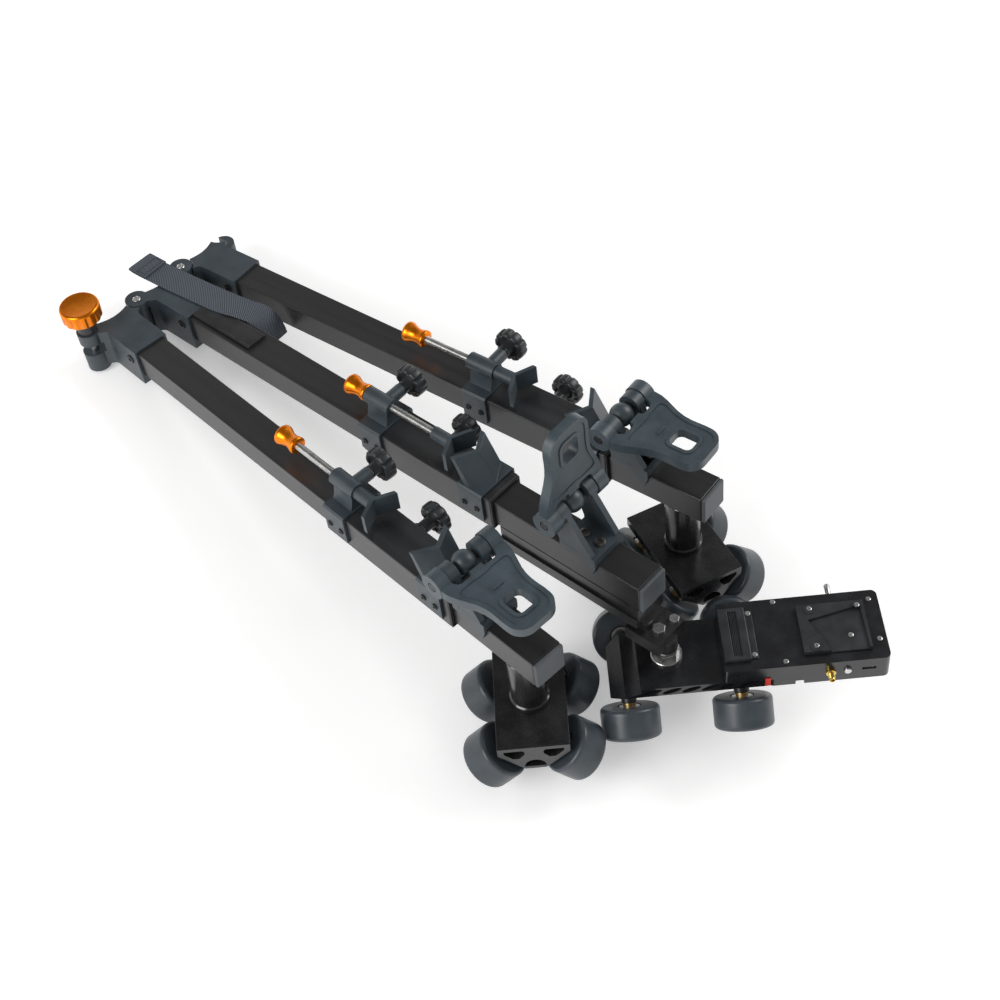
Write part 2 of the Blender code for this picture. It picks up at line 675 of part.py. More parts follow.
def lever():
    half = LEVER_THICKNESS / 2
    slot = rounded_rectangle(SLOT_CENTRE, SLOT_LENGTH, SLOT_WIDTH, 5)
    rim = rounded_rectangle(SLOT_CENTRE, SLOT_LENGTH + 7, SLOT_WIDTH + 7, 7)
    shapes = [slab(lever_outline(), -half, half)]
    for side in (-1, 1):
        shapes.append(cylinder(LEVER_EAR_RADIUS, (0, side * (EYE_OUTER + 0.7), 0), (0, side * EAR_OUTER, 0), 16))
    body = union(*shapes)
    return finished(difference(
        body,
        slab(slot, -half - OVERLAP, half + OVERLAP),
        slab(rim, half - 2, half + OVERLAP),
        cylinder(PIN_RADIUS + FIT, (0, -EAR_OUTER - 5, 0), (0, EAR_OUTER + 5, 0), 10),
    ), "lever")


# Free trucks, in coordinates from the swivel axis along the truck
def post():
    top = -TUBE_HEIGHT / 2 - FIT
    foot = SIDE_TRUCK_TOP + FIT
    return finished(turned([(0, top), (POST_RADIUS, top), (POST_RADIUS, foot + 6), (POST_RADIUS + 1.5, foot + 5),
                            (POST_RADIUS + 1.5, foot), (0, foot)], steps=20), "post")


def axle(gap):
    """Axle bolt along +Z out of the truck's slope, with its bearing ring and its head."""
    ring = HUB_RADIUS - 1
    ring_end = HUB_RECESS - 2 * FIT
    head = WHEEL_WIDTH - HEAD_RECESS + 2 * FIT
    root = -gap - OVERLAP
    profile = [(0, head + 1.6), (HUB_RADIUS - 6, head + 1.6), (WHEEL_BORE - FIT, head), (WHEEL_BORE - FIT, ring_end),
               (ring, ring_end), (ring, 0.4), (6, 0.0), (6, root), (0, root)]
    return turned(profile, steps=8)


def wheel():
    """Wheel about its own axis, inner face at +Z."""
    half = WHEEL_WIDTH / 2
    rim = WHEEL_RADIUS - WHEEL_EDGE
    profile = [(WHEEL_BORE, half - HUB_RECESS), (HUB_RADIUS, half - HUB_RECESS), (HUB_RADIUS, half), (rim, half),
               (WHEEL_RADIUS, half - WHEEL_EDGE), (WHEEL_RADIUS, WHEEL_EDGE - half), (rim, -half),
               (HUB_RADIUS, -half), (WHEEL_BORE, HEAD_RECESS - half)]
    return finished(turned(profile, steps=16, closed=True), "wheel")


def wheel_mounts(lengthwise, offset, level):
    """Middle of each wheel's inner face and the outward direction of its axle."""
    mounts = []
    for x in lengthwise:
        for side in (1, -1):
            direction = Vector((0, side * math.sin(AXLE_TILT), -math.cos(AXLE_TILT)))
            mounts.append((Vector((x, side * offset, level)), direction))
    return mounts


def axle_set(mounts, gap):
    shapes = []
    for place, direction in mounts:
        aim = direction.to_track_quat("Z", "Y").to_matrix().to_4x4()
        shapes.append(moved(axle(gap), place, aim))
    return shapes


def axle_gap(offset, level, half, shoulder):
    """Distance from a wheel's inner face back to the 45 degree slope below a truck's shoulder."""
    return ((offset - level) - (half - shoulder)) / math.sqrt(2)


SIDE_HUB_LEVEL = HUB_LEVEL - SIDE_TRUCK_TOP
SIDE_MOUNTS = wheel_mounts((SIDE_WHEELBASE / 2, -SIDE_WHEELBASE / 2), SIDE_HUB_OFFSET, SIDE_HUB_LEVEL)
DRIVE_MOUNTS = wheel_mounts(reversed(DRIVE_WHEELS), DRIVE_HUB_OFFSET, HUB_LEVEL)


def side_truck_body():
    """Extruded beam with two triangular channels and a half-round one, and four axle bolts."""
    slope = SIDE_TRUCK_HEIGHT - SIDE_TRUCK_SIDE
    foot_half = SIDE_TRUCK_HALF - slope
    half = [(SIDE_TRUCK_HALF, 0), (SIDE_TRUCK_HALF, -SIDE_TRUCK_SIDE), (foot_half, -SIDE_TRUCK_HEIGHT)]
    outline = half + [(-y, z) for y, z in reversed(half)]
    channel = [(SIDE_TRUCK_HALF - 6, -5), (SIDE_TRUCK_HALF - 6, -9), (SIDE_TRUCK_HALF - 14, -17),
               (SIDE_TRUCK_HALF - 20, -17), (9, -11), (9, -7), (11, -5)]
    half_round = arc((0, -SIDE_TRUCK_HEIGHT + 4), foot_half, 0, 180, 8)
    channels = (channel, [(-y, z) for y, z in channel], half_round)
    beam = slab(outline, -SIDE_TRUCK_LENGTH / 2, SIDE_TRUCK_LENGTH / 2, "x", channels)
    gap = axle_gap(SIDE_HUB_OFFSET, SIDE_HUB_LEVEL, SIDE_TRUCK_HALF, -SIDE_TRUCK_SIDE)
    return finished(union(beam, *axle_set(SIDE_MOUNTS, gap)), "truck_body")


def add_wheels(prefix, mounts, mesh, parent):
    names = ("front_left", "front_right", "rear_left", "rear_right")
    for name, (place, direction) in zip(names, mounts):
        centre = place + direction * WHEEL_WIDTH / 2
        turn = (-direction).to_track_quat("Z", "Y").to_euler()
        part(prefix + "_wheel_" + name, mesh, TYRE, parent, centre, turn)


# Powered truck, in coordinates from its swivel axis along the truck
def drive_rail():
    """Guide rail bolted under the middle tube with the block that the truck swivels on."""
    top = -TUBE_HEIGHT / 2 - FIT
    return finished(union(
        box((RAIL_START, RAIL_END), (-17.5, 17.5), (RAIL_BOTTOM + 8, top)),
        box((RAIL_START, RAIL_END - 0.5), (-20, 20), (RAIL_BOTTOM, RAIL_BOTTOM + 12), 1.5, "x"),
        box((SWIVEL_SETBACK - 31, SWIVEL_SETBACK - 12), (-13, 13), (SWIVEL_BLOCK_TOP - 3, RAIL_BOTTOM + 3)),
        box((SWIVEL_SETBACK - 33, SWIVEL_SETBACK + 11), (-21, 21), (SWIVEL_BLOCK_BOTTOM, SWIVEL_BLOCK_TOP), 1.5),
        cylinder(6, (SWIVEL_SETBACK, 0, SWIVEL_BLOCK_TOP - 1), (SWIVEL_SETBACK, 0, SWIVEL_BLOCK_TOP + 4), 12),
    ), "drive_rail")


def swivel_nut():
    """Washer, hexagon nut and spacer between the block and the truck."""
    bottom = DRIVE_TOP - OVERLAP
    top = SWIVEL_BLOCK_BOTTOM - FIT
    return union(
        cylinder(15, (0, 0, bottom), (0, 0, DRIVE_TOP + 3), 24),
        cylinder(13, (0, 0, bottom + 2), (0, 0, top - 3), 6),
        cylinder(9, (0, 0, top - 4), (0, 0, top), 16),
    )


def drive_truck_body():
    """Folded housing with slanted windows along both side bands and an open underside."""
    slope = DRIVE_TOP - DRIVE_BAND - DRIVE_BOTTOM
    half = [(DRIVE_HALF, DRIVE_TOP), (DRIVE_HALF, DRIVE_TOP - DRIVE_BAND), (DRIVE_HALF - slope, DRIVE_BOTTOM)]
    outline = half + [(-y, z) for y, z in reversed(half)]
    inner_half = DRIVE_HALF - DRIVE_WALL
    bend = DRIVE_TOP - DRIVE_BAND + DRIVE_WALL * (math.sqrt(2) - 1)
    inner_foot = inner_half - (bend - DRIVE_BOTTOM)
    room = [(inner_half, DRIVE_TOP - DRIVE_WALL), (inner_half, bend), (inner_foot, DRIVE_BOTTOM), (inner_foot, DRIVE_BOTTOM - 5)]
    cavity = room + [(-y, z) for y, z in reversed(room)]
    cheek = [(DRIVE_FOLD, DRIVE_TOP), (DRIVE_NOSE - 3, DRIVE_TOP - 22), (DRIVE_NOSE - 3, DRIVE_TOP + 5), (DRIVE_FOLD, DRIVE_TOP + 5)]
    cuts = [
        slab(cheek, -DRIVE_HALF - 5, DRIVE_HALF + 5, "y"),
        slab(cavity, DRIVE_FOLD + 2, DRIVE_TAIL - DRIVE_WALL, "x"),
    ]
    centre_z = DRIVE_TOP - DRIVE_BAND / 2
    for i in range(WINDOW_COUNT):
        centre_x = WINDOW_FIRST + WINDOW_PITCH * i
        window = [(centre_x + x + 0.9 * y, centre_z + y) for x, y in arc((0, 0), 1, 0, 315, 7)]
        window = [(centre_x + 6.2 * (x - centre_x), centre_z + 3.2 * (z - centre_z)) for x, z in window]
        cuts.append(slab(window, -DRIVE_HALF - 5, DRIVE_HALF + 5, "y"))
    beam = slab(outline, DRIVE_NOSE, DRIVE_TAIL, "x")
    gap = axle_gap(DRIVE_HUB_OFFSET, HUB_LEVEL, DRIVE_HALF, DRIVE_TOP - DRIVE_BAND)
    return finished(union(difference(beam, *cuts), *axle_set(DRIVE_MOUNTS, gap), swivel_nut()), "drive_truck_body")


def on_box(place, y):
    """A point of the control box from its place along the truck, its height and y."""
    return (place[0], y, place[1])


def control_box():
    """Sealed box that hangs over the truck's tail."""
    step = DRIVE_TOP + FIT
    body = union(
        box((DRIVE_TAIL + FIT, BOX_END), (-BOX_HALF, BOX_HALF), (BOX_BOTTOM, BOX_TOP - 0.01), 2.5),
        box((BOX_START, DRIVE_TAIL + 30), (-BOX_HALF, BOX_HALF), (step, BOX_TOP), 2.5),
        cylinder(4.6, (149, 1 - BOX_HALF, -84), (149, -BOX_HALF - 3.5, -84), 6),
        cylinder(3.1, (149, -BOX_HALF - 3, -84), (149, -BOX_HALF - 11, -84), 10),
        cylinder(SWITCH_COLLAR_RADIUS, on_box(SWITCH, BOX_HALF - OVERLAP), on_box(SWITCH, BOX_HALF + SWITCH_COLLAR), 8),
    )
    return finished(difference(
        body,
        box((178.5, 191.5), (-BOX_HALF - 2, 3 - BOX_HALF), (-86.5, -83)),
        box((117, 125), (-BOX_HALF - 2, 4 - BOX_HALF), (BOX_BOTTOM - 2, BOX_BOTTOM + 5)),
        cylinder(SWITCH_COLLAR_RADIUS - 1, on_box(SWITCH, BOX_HALF), on_box(SWITCH, BOX_HALF + SWITCH_COLLAR + OVERLAP), 8),
        cylinder(BUTTON_RADIUS + FIT, on_box(BUTTON, -BOX_HALF - OVERLAP), on_box(BUTTON, BUTTON_POCKET - BOX_HALF), 12),
    ), "control_box")


def cable_cover():
    cover = box((BOX_START + 1, BOX_START + 26), (-30, 30), (BOX_TOP + FIT, PLATE_TOP), 1.5)
    groove = box((BOX_START + 10, BOX_START + 18), (-26, 26), (PLATE_TOP - 2.5, PLATE_TOP + 2))
    return finished(difference(cover, groove), "cable_cover")


def battery_plate():
    """Raised plate with the tapered recess that a battery's wedge slides into."""
    plate = box((126, 189.5), (-29, 26), (BOX_TOP + FIT, PLATE_TOP), 1.2)
    wedge = [(135, 8), (152, -31), (187, -31), (186, 20)]
    return finished(difference(plate, slab(wedge, BOX_TOP + FIT + 1.5, PLATE_TOP + 2)), "battery_plate")


# Webbing strap: a band laid over the hub that drops between two legs, and its sewn end
def ribbon(route, half_width, thickness):
    """A band through (x, y, z, sideways lean) stations, given thickness by Solidify."""
    bm = bmesh.new()
    rows = []
    for i, (x, y, z, drop) in enumerate(route):
        before = route[max(i - 1, 0)]
        after = route[min(i + 1, len(route) - 1)]
        run = Vector((after[0] - before[0], after[1] - before[1], 0)).normalized()
        across = Vector((-run.y, run.x, -drop)).normalized() * half_width
        centre = Vector((x, y, z))
        rows.append([bm.verts.new((centre + across * side) * MM) for side in (-1, 1)])
    for first, second in zip(rows, rows[1:]):
        bm.faces.new((first[0], second[0], second[1], first[1]))
    shape = from_bmesh(bm)
    thicken = shape.modifiers.new("webbing", "SOLIDIFY")
    thicken.thickness = thickness * MM
    thicken.offset = 0.0
    return welded(shape)


def carry_strap():
    seat = BRACKET_TOP + FIT + STRAP_THICKNESS / 2
    pad_top = TUBE_HEIGHT / 2 + FIT + 3.4
    side = TUBE_WIDTH / 2
    band = ribbon([(-113, 9, seat, 0), (-98, 9, seat, 0), (-60, 12, seat, 0), (-20, 16, seat, 0), (15, 20, seat, 0),
                   (44, side + 9.5, seat, 0.1), (60, side + 17.5, 12, 0.2), (68, side + 19.5, -4, 0.2),
                   (72, side + 20, -20, 0.2)], 16, STRAP_THICKNESS)
    pad = box((FIT, 92), (-13, 12), (TUBE_HEIGHT / 2 + FIT, pad_top), 1.0)
    return finished(union(band, pad), "carry_strap")


# Shared meshes
SHARED = {
    "sleeve_tube": sleeve_tube(),
    "clamp_saddle": clamp_saddle(),
    "v_block": v_block(),
    "push_screw": push_screw(),
    "v_jaw": v_jaw(),
    "rod_lock_knob": lobed_knob(ROD_RADIUS + 1, ROD_BOSS_END + FIT, ROD_KNOB_FACE, "rod_lock_knob"),
    "sleeve_lock_knob": lobed_knob(TUBE_WIDTH / 2 + FIT, SLEEVE_BOSS_END + FIT, SLEEVE_KNOB_FACE, "sleeve_lock_knob"),
    "lever_bracket": lever_bracket(),
    "lever": lever(),
    "post": post(),
    "truck_body": side_truck_body(),
    "wheel": wheel(),
}


def add_clamp(side, leg, start, advanced, pivot, lever_turn):
    """Sleeve, clamp and foot lever of one leg."""
    sleeve = frame(side + "_sleeve", leg, (start, 0, 0))
    part(side + "_sleeve_tube", SHARED["sleeve_tube"], BLACK_ANODISED, sleeve)
    part(side + "_clamp_saddle", SHARED["clamp_saddle"], CAST_GREY, sleeve)
    part(side + "_v_block", SHARED["v_block"], CAST_GREY, sleeve)
    jaw = frame(side + "_jaw", sleeve, (JAW_ROOT_RETRACTED + advanced, 0, BARREL_HEIGHT))
    part(side + "_v_jaw", SHARED["v_jaw"], CAST_GREY, jaw)
    part(side + "_push_screw", SHARED["push_screw"], ORANGE, jaw)
    part(side + "_rod_lock_knob", SHARED["rod_lock_knob"], BLACK_PLASTIC, sleeve, (ROD_KNOB_SETBACK, 0, BARREL_HEIGHT))
    part(side + "_sleeve_lock_knob", SHARED["sleeve_lock_knob"], BLACK_PLASTIC, sleeve, (SLEEVE_KNOB_SETBACK, 0, 0))
    part(side + "_lever_bracket", SHARED["lever_bracket"], CAST_GREY, leg, (pivot, 0, 0))
    part(side + "_lever", SHARED["lever"], CAST_GREY, leg, (pivot, 0, PIVOT_HEIGHT), (0, -lever_turn, 0))


def add_side_leg(side, sign, fan, truck_turn):
    """A side leg hinged on the middle bracket. Sign is -1 on the left and 1 on the right."""
    pin = frame(side + "_leg_pin", DOLLY, (-PIN_SETBACK, sign * LUG_Y, 0), sign * fan)
    leg = frame(side + "_leg", pin, (PIN_SETBACK, sign * LUG_Y, 0))
    lugs = (RIGHT_LUG, LEFT_LUG) if sign < 0 else (LEFT_LUG, RIGHT_LUG)
    part(side + "_tube", leg_tube(SIDE_TUBE_LENGTH), BLACK_ANODISED, leg)
    part(side + "_hinge_bracket", side_bracket(*lugs, side), CAST_GREY, leg)
    add_clamp(side, leg, SIDE_SLEEVE_START, 0.0, SIDE_LEVER_PIVOT, 0.0)
    part(side + "_post", SHARED["post"], BLACK_ANODISED, leg, (POST_SETBACK, 0, 0))
    truck = frame(side + "_truck", leg, (POST_SETBACK, 0, SIDE_TRUCK_TOP), truck_turn)
    part(side + "_truck_body", SHARED["truck_body"], BLACK_ANODISED, truck)
    add_wheels(side, SIDE_MOUNTS, SHARED["wheel"], truck)
    return leg


# Assembly, level with the middle leg's tube until the whole is laid on the floor
DOLLY = frame("dolly", None)
middle = frame("middle_leg", DOLLY)
part("middle_tube", leg_tube(MIDDLE_TUBE_LENGTH), BLACK_ANODISED, middle)
part("middle_hinge_bracket", middle_bracket(), CAST_GREY, middle)
part("left_hinge_pin", hinge_pin(), STEEL, middle, (*LEFT_LUG, 0))
part("right_hinge_pin", hinge_pin(), STEEL, middle, (*RIGHT_LUG, 0))
part("carry_strap", carry_strap(), WEBBING, middle)
part("drive_rail", drive_rail(), BLACK_ANODISED, middle)
add_clamp("middle", middle, MIDDLE_SLEEVE_START, JAW_TRAVEL, MIDDLE_LEVER_PIVOT, math.pi / 2)
left_leg = add_side_leg("left", -1, LEFT_FAN, LEFT_TRUCK_TURN)
right_leg = add_side_leg("right", 1, RIGHT_FAN, RIGHT_TRUCK_TURN)
part("hub_knob", hub_knob(), ORANGE, left_leg, (*LEFT_LUG, 0))

drive = frame("drive_truck", middle, (SWIVEL_SETBACK, 0, 0), DRIVE_TRUCK_TURN)
part("drive_truck_body", drive_truck_body(), BLACK_ANODISED, drive)
part("control_box", control_box(), BLACK_ANODISED, drive)
part("cable_cover", cable_cover(), BLACK_PLASTIC, drive)
part("battery_plate", battery_plate(), BLACK_PLASTIC, drive)
part("power_switch", finished(cylinder(2.0, (0, 0.6, 0), (0, SWITCH_LENGTH, 0), 10, 1.4), "power_switch"), STEEL, drive,
     on_box(SWITCH, BOX_HALF))
part("set_button", finished(cylinder(BUTTON_RADIUS, (0, 0.2, 0), (0, -BUTTON_PROUD, 0), 12), "set_button"), STEEL, drive,
     on_box(BUTTON, -BOX_HALF))
add_wheels("drive", DRIVE_MOUNTS, SHARED["wheel"], drive)

for mesh in SHARED.values():
    bpy.data.meshes.remove(mesh)


# The folded dolly rests on its hub and on the wheels nearest the hub
def world_points(names):
    bpy.context.view_layer.update()
    points = []
    for item in PARTS.objects:
        if item.type == "MESH" and any(word in item.name for word in names):
            points += [item.matrix_world @ vert.co for vert in item.data.vertices]
    return points


def lowest(points, tilt):
    return min(point.x * math.sin(tilt) + point.z * math.cos(tilt) for point in points)


hub_points = world_points(("hinge_bracket",))
wheel_points = world_points(("_wheel_",))
low_tilt = 0.0
high_tilt = math.radians(30)
for _ in range(40):
    rest_tilt = (low_tilt + high_tilt) / 2
    if lowest(hub_points, rest_tilt) > lowest(wheel_points, rest_tilt):
        low_tilt = rest_tilt
    else:
        high_tilt = rest_tilt
DOLLY.rotation_euler = (0.0, -rest_tilt, 0.0)

bpy.context.view_layer.update()
corners = [item.matrix_world @ vert.co for item in PARTS.objects if item.type == "MESH" for vert in item.data.vertices]
DOLLY.location = (
    -(min(point.x for point in corners) + max(point.x for point in corners)) / 2,
    -(min(point.y for point in corners) + max(point.y for point in corners)) / 2,
    -min(point.z for point in corners),
)
bpy.context.view_layer.update()
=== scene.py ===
"""Folding tripod dolly with one powered truck, folded and lying on a studio floor.

Each leg has its own frame in millimetres: X runs from the hub outward along the tube, Z is
up, and the origin is mid-tube at the front face of the hinge bracket.
"""
import json
import math

import bmesh
import bpy
from mathutils import Euler, Matrix, Vector


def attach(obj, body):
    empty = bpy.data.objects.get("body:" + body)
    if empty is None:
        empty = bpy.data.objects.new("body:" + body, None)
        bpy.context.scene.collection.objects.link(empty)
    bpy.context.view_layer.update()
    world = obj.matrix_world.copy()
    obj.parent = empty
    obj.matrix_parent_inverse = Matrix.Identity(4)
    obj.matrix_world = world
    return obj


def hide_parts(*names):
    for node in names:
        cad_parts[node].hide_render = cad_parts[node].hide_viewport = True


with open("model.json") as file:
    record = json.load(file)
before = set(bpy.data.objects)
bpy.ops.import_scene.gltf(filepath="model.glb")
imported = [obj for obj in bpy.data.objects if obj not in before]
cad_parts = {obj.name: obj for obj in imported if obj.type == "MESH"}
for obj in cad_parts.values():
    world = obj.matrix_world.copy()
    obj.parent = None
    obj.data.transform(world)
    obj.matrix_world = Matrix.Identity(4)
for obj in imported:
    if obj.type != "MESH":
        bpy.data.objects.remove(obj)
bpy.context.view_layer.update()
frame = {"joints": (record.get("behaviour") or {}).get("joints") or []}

# Leg frames. Where a leg lies is read from the slide of its sleeve and the swivel of its
# truck, so that its pieces can be placed by the sizes on a maker's drawing.
MM = 0.001
POST_SETBACK = 571.5
SWIVEL_SETBACK = 635.5
TRUCK_TOP = -84.0
JOINTS = {joint["name"]: joint for joint in frame["joints"]}


def leg_frame(slide, swivel, setback, level):
    """A leg's frame, from its sleeve's slide and a swivel axis that stands setback along it."""
    along = Vector(JOINTS[slide]["axis"])
    up = Vector(JOINTS[swivel]["axis"])
    place = Matrix((along, up.cross(along), up)).transposed().to_4x4()
    place.translation = Vector(JOINTS[swivel]["pos_m"]) - (along * setback + up * level) * MM
    return place @ Matrix.Scale(MM, 4)


LEGS = {
    "left": leg_frame("left_sleeve_slide", "left_truck_swivel", POST_SETBACK, TRUCK_TOP),
    "middle": leg_frame("middle_sleeve_slide", "drive_truck_swivel", SWIVEL_SETBACK, 0.0),
    "right": leg_frame("right_sleeve_slide", "right_truck_swivel", POST_SETBACK, TRUCK_TOP),
}

# Camera. A short telephoto lens looks down on the trucks from beyond the outer ends. Its
# place is in millimetres in the middle leg's frame, and its turn in degrees.
CAMERA_PLACE = (1230.9, -726.4, 1222.7)
CAMERA_TURN = (41.037, 5.506, 41.358)
camera = bpy.data.objects.new("camera", bpy.data.cameras.new("camera"))
bpy.context.scene.collection.objects.link(camera)
bpy.context.scene.camera = camera
camera.data.sensor_width = 36.0
camera.data.lens = 60.32
camera_turn = Euler([math.radians(angle) for angle in CAMERA_TURN])
stand = LEGS["middle"] @ Matrix.Translation(CAMERA_PLACE) @ camera_turn.to_matrix().to_4x4()
camera.matrix_world = Matrix.LocRotScale(stand.translation, stand.to_quaternion(), None)


# Studio floor. White paper that keeps the soft shadow of the dolly, and the shader
# arithmetic that it and every finish below are written in.
class Wire:
    """A socket of a node tree. Arithmetic on it adds Math nodes."""

    def __init__(self, tree, socket=None):
        self.tree = tree
        self.socket = socket

    def node(self, kind, settings=None, inputs=None, output=0):
        made = self.tree.nodes.new(kind)
        for setting, value in (settings or {}).items():
            setattr(made, setting, value)
        for name, value in (inputs or {}).items():
            if isinstance(value, Wire):
                self.tree.links.new(value.socket, made.inputs[name])
            else:
                made.inputs[name].default_value = value
        return Wire(self.tree, made.outputs[output])

    def math(self, operation, first, second=0.0):
        return self.node("ShaderNodeMath", {"operation": operation}, {0: first, 1: second})

    def span(self, low, high, bottom=0.0, top=1.0):
        """The value between low and high, stretched to between bottom and top."""
        return self.node("ShaderNodeMapRange", None, {"Value": self, "From Min": low, "From Max": high,
                                                      "To Min": bottom, "To Max": top})

    def blend(self, first, second):
        """From the first colour to the second as the value goes from 0 to 1."""
        colours = [value if isinstance(value, Wire) else (*value, 1.0) for value in (first, second)]
        return self.node("ShaderNodeMix", {"data_type": "RGBA"}, {0: self, 6: colours[0], 7: colours[1]}, 2)

    def __add__(self, other):
        return self.math("ADD", self, other)

    def __sub__(self, other):
        return self.math("SUBTRACT", self, other)

    def __rsub__(self, other):
        return self.math("SUBTRACT", other, self)

    def __mul__(self, other):
        return self.math("MULTIPLY", self, other)

    __radd__ = __add__
    __rmul__ = __mul__


def seen_background(wire):
    """1 for rays from the camera, glossy surfaces and glass, which see the white background."""
    rays = [wire.node("ShaderNodeLightPath", None, None, name)
            for name in ("Is Camera Ray", "Is Glossy Ray", "Is Transmission Ray")]
    return wire.math("MAXIMUM", wire.math("MAXIMUM", rays[0], rays[1]), rays[2])


PAPER_WHITE = 0.32
FLOOR_REACH = 6.0
paper = bpy.data.materials.new("studio_paper")
paper.use_nodes = True
wire = Wire(paper.node_tree)
cloud = wire.node("ShaderNodeTexNoise", None, {"Vector": wire.node("ShaderNodeTexCoord", None, None, "Object"),
                                               "Scale": 3.0, "Detail": 2.0})
matt = wire.node("ShaderNodeBsdfDiffuse", None, {"Color": cloud.blend((0.87, 0.865, 0.86), (0.89, 0.888, 0.885))})
white = wire.node("ShaderNodeEmission", None, {"Color": (1.0, 1.0, 1.0, 1.0), "Strength": PAPER_WHITE})
lit = wire.node("ShaderNodeAddShader", None, {0: matt, 1: white})
chosen = wire.node("ShaderNodeMixShader", None, {0: seen_background(wire), 1: matt, 2: lit})
paper.node_tree.links.new(chosen.socket, paper.node_tree.nodes["Material Output"].inputs["Surface"])

bm = bmesh.new()
bmesh.ops.create_grid(bm, x_segments=1, y_segments=1, size=FLOOR_REACH)
floor = bpy.data.objects.new("floor", bpy.data.meshes.new("floor"))
bm.to_mesh(floor.data)
bm.free()
floor.data.materials.append(paper)
bpy.context.scene.collection.objects.link(floor)

# Studio light. One wide soft box beyond the far leg, a second one low beside the near leg,
# and a pale room, whose walls glossy surfaces see as white below and dark above.
AMBIENT = 0.5
SEEN_WHITE = 0.95
DARK_CEILING = 0.16
LIT_POINT = (0.0, 0.0, 0.1)
room = bpy.data.worlds.new("room")
room.use_nodes = True
bpy.context.scene.world = room
wire = Wire(room.node_tree)
direction = wire.node("ShaderNodeTexCoord", None, None, "Generated")
height = wire.node("ShaderNodeSeparateXYZ", None, {0: direction}, "Z")
walls = height.span(0.0, 0.6, SEEN_WHITE, DARK_CEILING)
seen = seen_background(wire)
glossy = wire.node("ShaderNodeLightPath", None, None, "Is Glossy Ray")
strength = AMBIENT * (1.0 - seen) + (seen - glossy) * SEEN_WHITE + glossy * walls
background = room.node_tree.nodes["Background"]
room.node_tree.links.new(strength.socket, background.inputs["Strength"])
background.inputs["Color"].default_value = (1.0, 1.0, 1.0, 1.0)


def soft_box(name, place, width, power):
    """A square lamp aimed at the middle of the dolly."""
    lamp = bpy.data.objects.new(name, bpy.data.lights.new(name, "AREA"))
    lamp.data.shape = "SQUARE"
    lamp.data.size = width
    lamp.data.energy = power
    lamp.location = place
    lamp.rotation_euler = (Vector(LIT_POINT) - Vector(place)).to_track_quat("-Z", "Y").to_euler()
    bpy.context.scene.collection.objects.link(lamp)


soft_box("soft_box_far", (0.7, 2.1, 1.9), 1.4, 36.0)
soft_box("soft_box_near", (-0.5, -2.3, 1.5), 1.6, 44.0)
bpy.context.scene.view_settings.view_transform = "Standard"

# Leg tubes. Square-cut rectangular aluminium, black anodised, with drawing lines along the
# tube, and a bevelled plastic plug pressed into each outer end.
TUBE_WIDTH = 35.0
TUBE_HEIGHT = 32.0
TUBE_LENGTH = {"left": 608.0, "middle": 624.0, "right": 608.0}
TUBE_START = -40.0
PLUG_THICKNESS = 4.0
PLUG_INSET = 0.1


def finish(name, dark, light, roughness, grain, relief, drawn=None, **constants):
    """A procedural surface: clouds in the colour, and grain in the gloss and the relief.

    Grain is in spots per metre and relief in metres. Drawn is the frame whose X the
    lines of a drawn or turned surface follow."""
    look = bpy.data.materials.new(name)
    look.use_nodes = True
    wire = Wire(look.node_tree)
    point = wire.node("ShaderNodeTexCoord", None, None, "Object")
    if drawn is not None:
        point = wire.node("ShaderNodeMapping", {"vector_type": "TEXTURE"},
                          {"Vector": point, "Rotation": drawn.to_euler(), "Scale": (40.0, 1.0, 1.0)})
    spots = wire.node("ShaderNodeTexNoise", None, {"Vector": point, "Scale": grain, "Detail": 3.0})
    clouds = wire.node("ShaderNodeTexNoise", None, {"Vector": point, "Scale": grain / 24, "Detail": 2.0})
    colour = (0.6 * clouds + 0.4 * spots).span(0.35, 0.65).blend(dark, light)
    gloss = roughness + 0.16 * (clouds - 0.5) + 0.2 * (spots - 0.5)
    bump = wire.node("ShaderNodeBump", None, {"Height": spots, "Strength": 0.5, "Distance": relief})
    shader = look.node_tree.nodes["Principled BSDF"]
    for name, value in (("Base Color", colour), ("Roughness", gloss), ("Normal", bump)):
        look.node_tree.links.new(value.socket, shader.inputs[name])
    for name, value in constants.items():
        shader.inputs[name.replace("_", " ")].default_value = value
    return look


def block(x, y, z):
    """A block between two limits on each axis."""
    bm = bmesh.new()
    middle = Vector([sum(limits) / 2 for limits in (x, y, z)])
    sides = Vector([limits[1] - limits[0] for limits in (x, y, z)])
    bmesh.ops.create_cube(bm, size=1.0, matrix=Matrix.Translation(middle) @ Matrix.Diagonal(sides).to_4x4())
    return bm


def piece(bm, name, body, slot, look, place, *nodes, bevel=0.6, steps=2):
    """One finished piece: the shape put in its place, its edges eased, riding on its body."""
    bm = bm.copy()
    bmesh.ops.remove_doubles(bm, verts=bm.verts, dist=0.003)
    bmesh.ops.dissolve_limit(bm, angle_limit=math.radians(0.8), verts=bm.verts, edges=bm.edges)
    bmesh.ops.recalc_face_normals(bm, faces=bm.faces)
    bmesh.ops.transform(bm, matrix=place, verts=bm.verts)
    mesh = bpy.data.meshes.new(name)
    bm.to_mesh(mesh)
    bm.free()
    mesh.materials.append(look)
    mesh.shade_smooth()
    made = bpy.data.objects.new(name, mesh)
    bpy.context.scene.collection.objects.link(made)
    if bevel:
        ease = made.modifiers.new("eased_edges", "BEVEL")
        ease.width = bevel * MM
        ease.segments = steps
        ease.limit_method = "ANGLE"
        ease.angle_limit = math.radians(32)
        ease.harden_normals = True
    else:
        mesh.set_sharp_from_angle(angle=math.radians(40))
    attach(made, body)
    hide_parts(*nodes)


